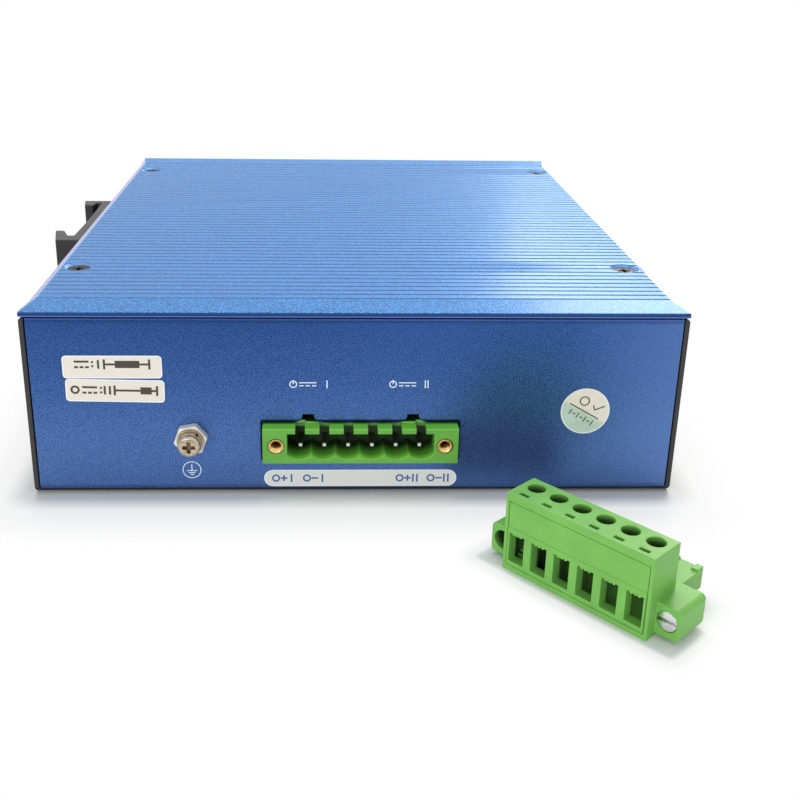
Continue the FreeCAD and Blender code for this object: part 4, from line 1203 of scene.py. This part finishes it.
class SWITCH_OT_print(bpy.types.Operator):
    """White captions, pole signs and earth mark printed on the panel"""

    bl_idname = "switch.print"
    bl_label = "Panel print"

    def execute(self, context):
        look = context.scene.print_look
        for number, x in enumerate(look.caption_places[:2], 1):
            self.caption(look, number, (x, look.caption_places[2]))
        pill = film("pole_field", *look.pill_size, look.pill_size[1] * ROUND, look.ink_thick)
        laid(pill, "pill_ink", look.pill_rim, "printed_ink", look.pill_place)
        for number, sign, x in (
                (1, "plus", -0.0165), (1, "minus", -0.0099), (2, "plus", 0.0100), (2, "minus", 0.0167)):
            self.pole(look, number, sign, (look.pill_place[0] + x, look.pill_place[1]))
        self.earth_mark(look)
        return {"FINISHED"}

    def caption(self, look, number, place):
        """Power sign, direct current and the number of the input in strokes."""
        tall, line, thick = look.caption_height, look.fine_stroke, look.ink_thick
        power, sign, tally = -0.0034, -0.0004, 0.0036
        marks = [circle(power, 0.0, tall * 0.46, line, thick),
                 bar("stem", power, tall * 0.28, line, tall * 0.5, thick * CROSSING),
                 *direct_current(sign, 0.0, 0.0036, line, thick), *strokes(tally, 0.0, number, tall, line, thick)]
        printed(f"caption_{number}", marks, "white_ink", place)

    def pole(self, look, number, sign, place):
        """Ring, plus or minus, and the number of the input in strokes."""
        line, thick = look.pole_stroke, look.ink_thick
        wide, middle = 0.0014, 0.0001
        marks = [circle(-0.0016, 0.0, 0.00088, line, thick), bar("across", middle, 0.0, wide, line, thick)]
        if sign == "plus":
            marks.append(bar("upright", middle, 0.0, line, wide, thick * CROSSING))
        marks += strokes(0.0017, 0.0, number, 0.0019, line, thick)
        printed(f"pole_{sign}_{number}", marks, "blue_ink", place, GAP + thick)

    def earth_mark(self, look):
        """Ring with a stem over three shorter and shorter bars."""
        line, thick = look.earth_stroke, look.ink_thick
        marks = [ring("earth_ring", look.earth_radius, 0.00019, thick),
                 bar("stem", 0.0, 0.00055, line, 0.0015, thick * CROSSING)]
        for y, width in ((-0.0002, 0.0022), (-0.00068, 0.0014), (-0.00116, 0.0007)):
            marks.append(bar("earth_bar", 0.0, y, width, line, thick))
        printed("earth_mark", marks, "white_ink", look.earth_place)


class SWITCH_OT_stage(bpy.types.Operator):
    """Pale floor, two grey cards, soft light and the camera"""

    bl_idname = "switch.stage"
    bl_label = "Stage"

    def execute(self, context):
        look = context.scene.stage_look
        self.floor(look)
        self.dark_card("card", look.card, place=(-0.24, -0.345, 0.1), turn=150, size=(0.5, 0.4))
        # The flag: a grey card before the panel that stands in for shade in the panel's reflection of the plug
        self.dark_card("flag", look.flag, place=(0.033, -0.089, 0.007), turn=90, size=(0.026, 0.014))
        self.sky(look)
        self.lamp("overhead", look.overhead, place=(0.05, 0.42, 0.88), target=(0.0, 0.0, 0.0), size=0.7)
        self.lamp("side", look.side, place=(0.50, 0.92, 0.52), target=(0.02, 0.0, 0.02), size=0.52,
                  colour=look.warm)
        self.lamp("front", look.front, place=(-0.5, -1.1, 0.3), target=(0.0, -0.08, 0.01), size=0.7)
        self.camera(look)
        context.scene.view_settings.view_transform = "Standard"
        return {"FINISHED"}

    def floor(self, look):
        """Pale table that turns white away from the casing and the plug, and keeps their shadows."""
        alone()
        bpy.ops.mesh.primitive_plane_add(size=6.0)
        floor = named("floor")
        finish = Finish("white_table")
        pale = finish.mix(finish.grain(0.4, 1.0), (0.82, 0.82, 0.82), (0.84, 0.84, 0.84))
        finish.surface(Base_Color=pale, Roughness=0.7)
        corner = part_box("base_tray")[1]
        casing = finish.reach(finish.place, (0.0, 0.0, 0.0), (corner.x, corner.y, 1.0))
        # Half the plug's width and depth; the white starts sooner round it
        wide, deep, sooner = 0.0204, 0.0095, 4.0
        plug = finish.reach(on_plug(finish), (0.0, deep, 0.0), (wide, deep, 1.0))
        near = casing.least(plug * sooner)
        shown = near.spread(0.002, 0.0068, 0.0, 0.7) + near.spread(0.009, look.shadow_reach, 0.0, 0.3)
        mirrored = near.spread(0.0, look.shadow_reach) ** 1.5
        camera, gloss, glass = finish.rays()
        share = camera * shown + (1.0 - camera) * (gloss + glass).least(1.0) * mirrored
        finish.cover(share, finish.node("ShaderNodeEmission", None, {"Color": WHITE, "Strength": 1.0}))
        floor.data.materials.append(finish.owner)

    def dark_card(self, name, level, place, turn, size):
        """Grey card that only shows in gloss, so that metal has something to reflect."""
        alone()
        bpy.ops.mesh.primitive_plane_add(size=1.0, location=place, rotation=(math.radians(turn), 0.0, 0.0))
        card = named(name)
        card.scale = (*size, 1.0)
        finish = Finish(name + "_cloth")
        cloth = finish.mix(finish.grain(0.01), (0.02, 0.02, 0.02), (0.03, 0.03, 0.03))
        card.data.materials.append(finish.surface(
            Base_Color=cloth, Roughness=0.8, Emission_Color=WHITE, Emission_Strength=level))
        card.visible_camera = False
        card.visible_diffuse = False
        card.visible_shadow = False

    def sky(self, look):
        """Even light that the camera, gloss and glass see as plain white."""
        sky = Finish("studio", "worlds", "Background")
        bpy.context.scene.world = sky.surface(Color=(0.96, 0.98, 1.0), Strength=look.sky)
        camera, gloss, glass = sky.rays()
        white = sky.node("ShaderNodeBackground", None, {"Color": WHITE, "Strength": 1.0})
        sky.cover(camera.most(gloss, glass), white)

    def lamp(self, name, watts, place, target, size, colour=WHITE):
        bpy.ops.object.light_add(type="AREA", location=place)
        lamp = named(name)
        lamp.data.energy = watts
        lamp.data.color = colour
        lamp.data.size = size
        lamp.rotation_euler = (Vector(target) - Vector(place)).to_track_quat("-Z", "Y").to_euler()

    def camera(self, look):
        bpy.ops.object.camera_add()
        camera = bpy.context.object
        camera.matrix_world = Matrix.Translation(look.place)
        for angle, axis in ((look.yaw, "Z"), (math.radians(90) - look.pitch, "X"), (look.roll, "Z")):
            camera.matrix_world @= Matrix.Rotation(angle, 4, axis)
        camera.data.lens = look.focal
        camera.data.sensor_width = 36.0
        camera.data.shift_x, camera.data.shift_y = look.shift
        camera.data.clip_start = 0.01
        bpy.context.scene.camera = camera


class SWITCH_PT_panel(bpy.types.Panel):
    """Lists the pieces of the switch"""

    bl_idname = "SWITCH_PT_panel"
    bl_label = "Power over ethernet switch"
    bl_space_type = "VIEW_3D"
    bl_region_type = "UI"
    bl_category = "Switch"

    def draw(self, context):
        for group in LOOKS:
            box = self.layout.box()
            look = getattr(context.scene, group)
            for prop in LOOKS[group].__annotations__:
                box.prop(look, prop)
        for operator in PIECES:
            self.layout.operator(operator.bl_idname)


LOOKS = {"casing_look": CasingLook, "plastic_look": PlasticLook, "metal_look": MetalLook,
         "print_look": PrintLook, "stage_look": StageLook}
PIECES = (SWITCH_OT_tray, SWITCH_OT_cover, SWITCH_OT_plates, SWITCH_OT_screws, SWITCH_OT_header, SWITCH_OT_earth,
          SWITCH_OT_clip, SWITCH_OT_ports, SWITCH_OT_inside, SWITCH_OT_plug, SWITCH_OT_stickers, SWITCH_OT_print,
          SWITCH_OT_stage)


def register():
    for group in (*LOOKS.values(), *PIECES, SWITCH_PT_panel):
        bpy.utils.register_class(group)
    for name, group in LOOKS.items():
        setattr(bpy.types.Scene, name, bpy.props.PointerProperty(type=group))


def unregister():
    for name in LOOKS:
        delattr(bpy.types.Scene, name)
    for group in (SWITCH_PT_panel, *reversed(PIECES), *reversed(tuple(LOOKS.values()))):
        bpy.utils.unregister_class(group)


def main():
    register()
    bpy.ops.switch.tray()
    bpy.ops.switch.cover()
    bpy.ops.switch.plates()
    bpy.ops.switch.screws()
    bpy.ops.switch.header()
    bpy.ops.switch.earth()
    bpy.ops.switch.clip()
    bpy.ops.switch.ports()
    bpy.ops.switch.inside()
    bpy.ops.switch.plug()
    bpy.ops.switch.stickers()
    bpy.ops.switch.print()
    bpy.ops.switch.stage()
    bpy.context.view_layer.update()


if __name__ == "__main__":
    main()
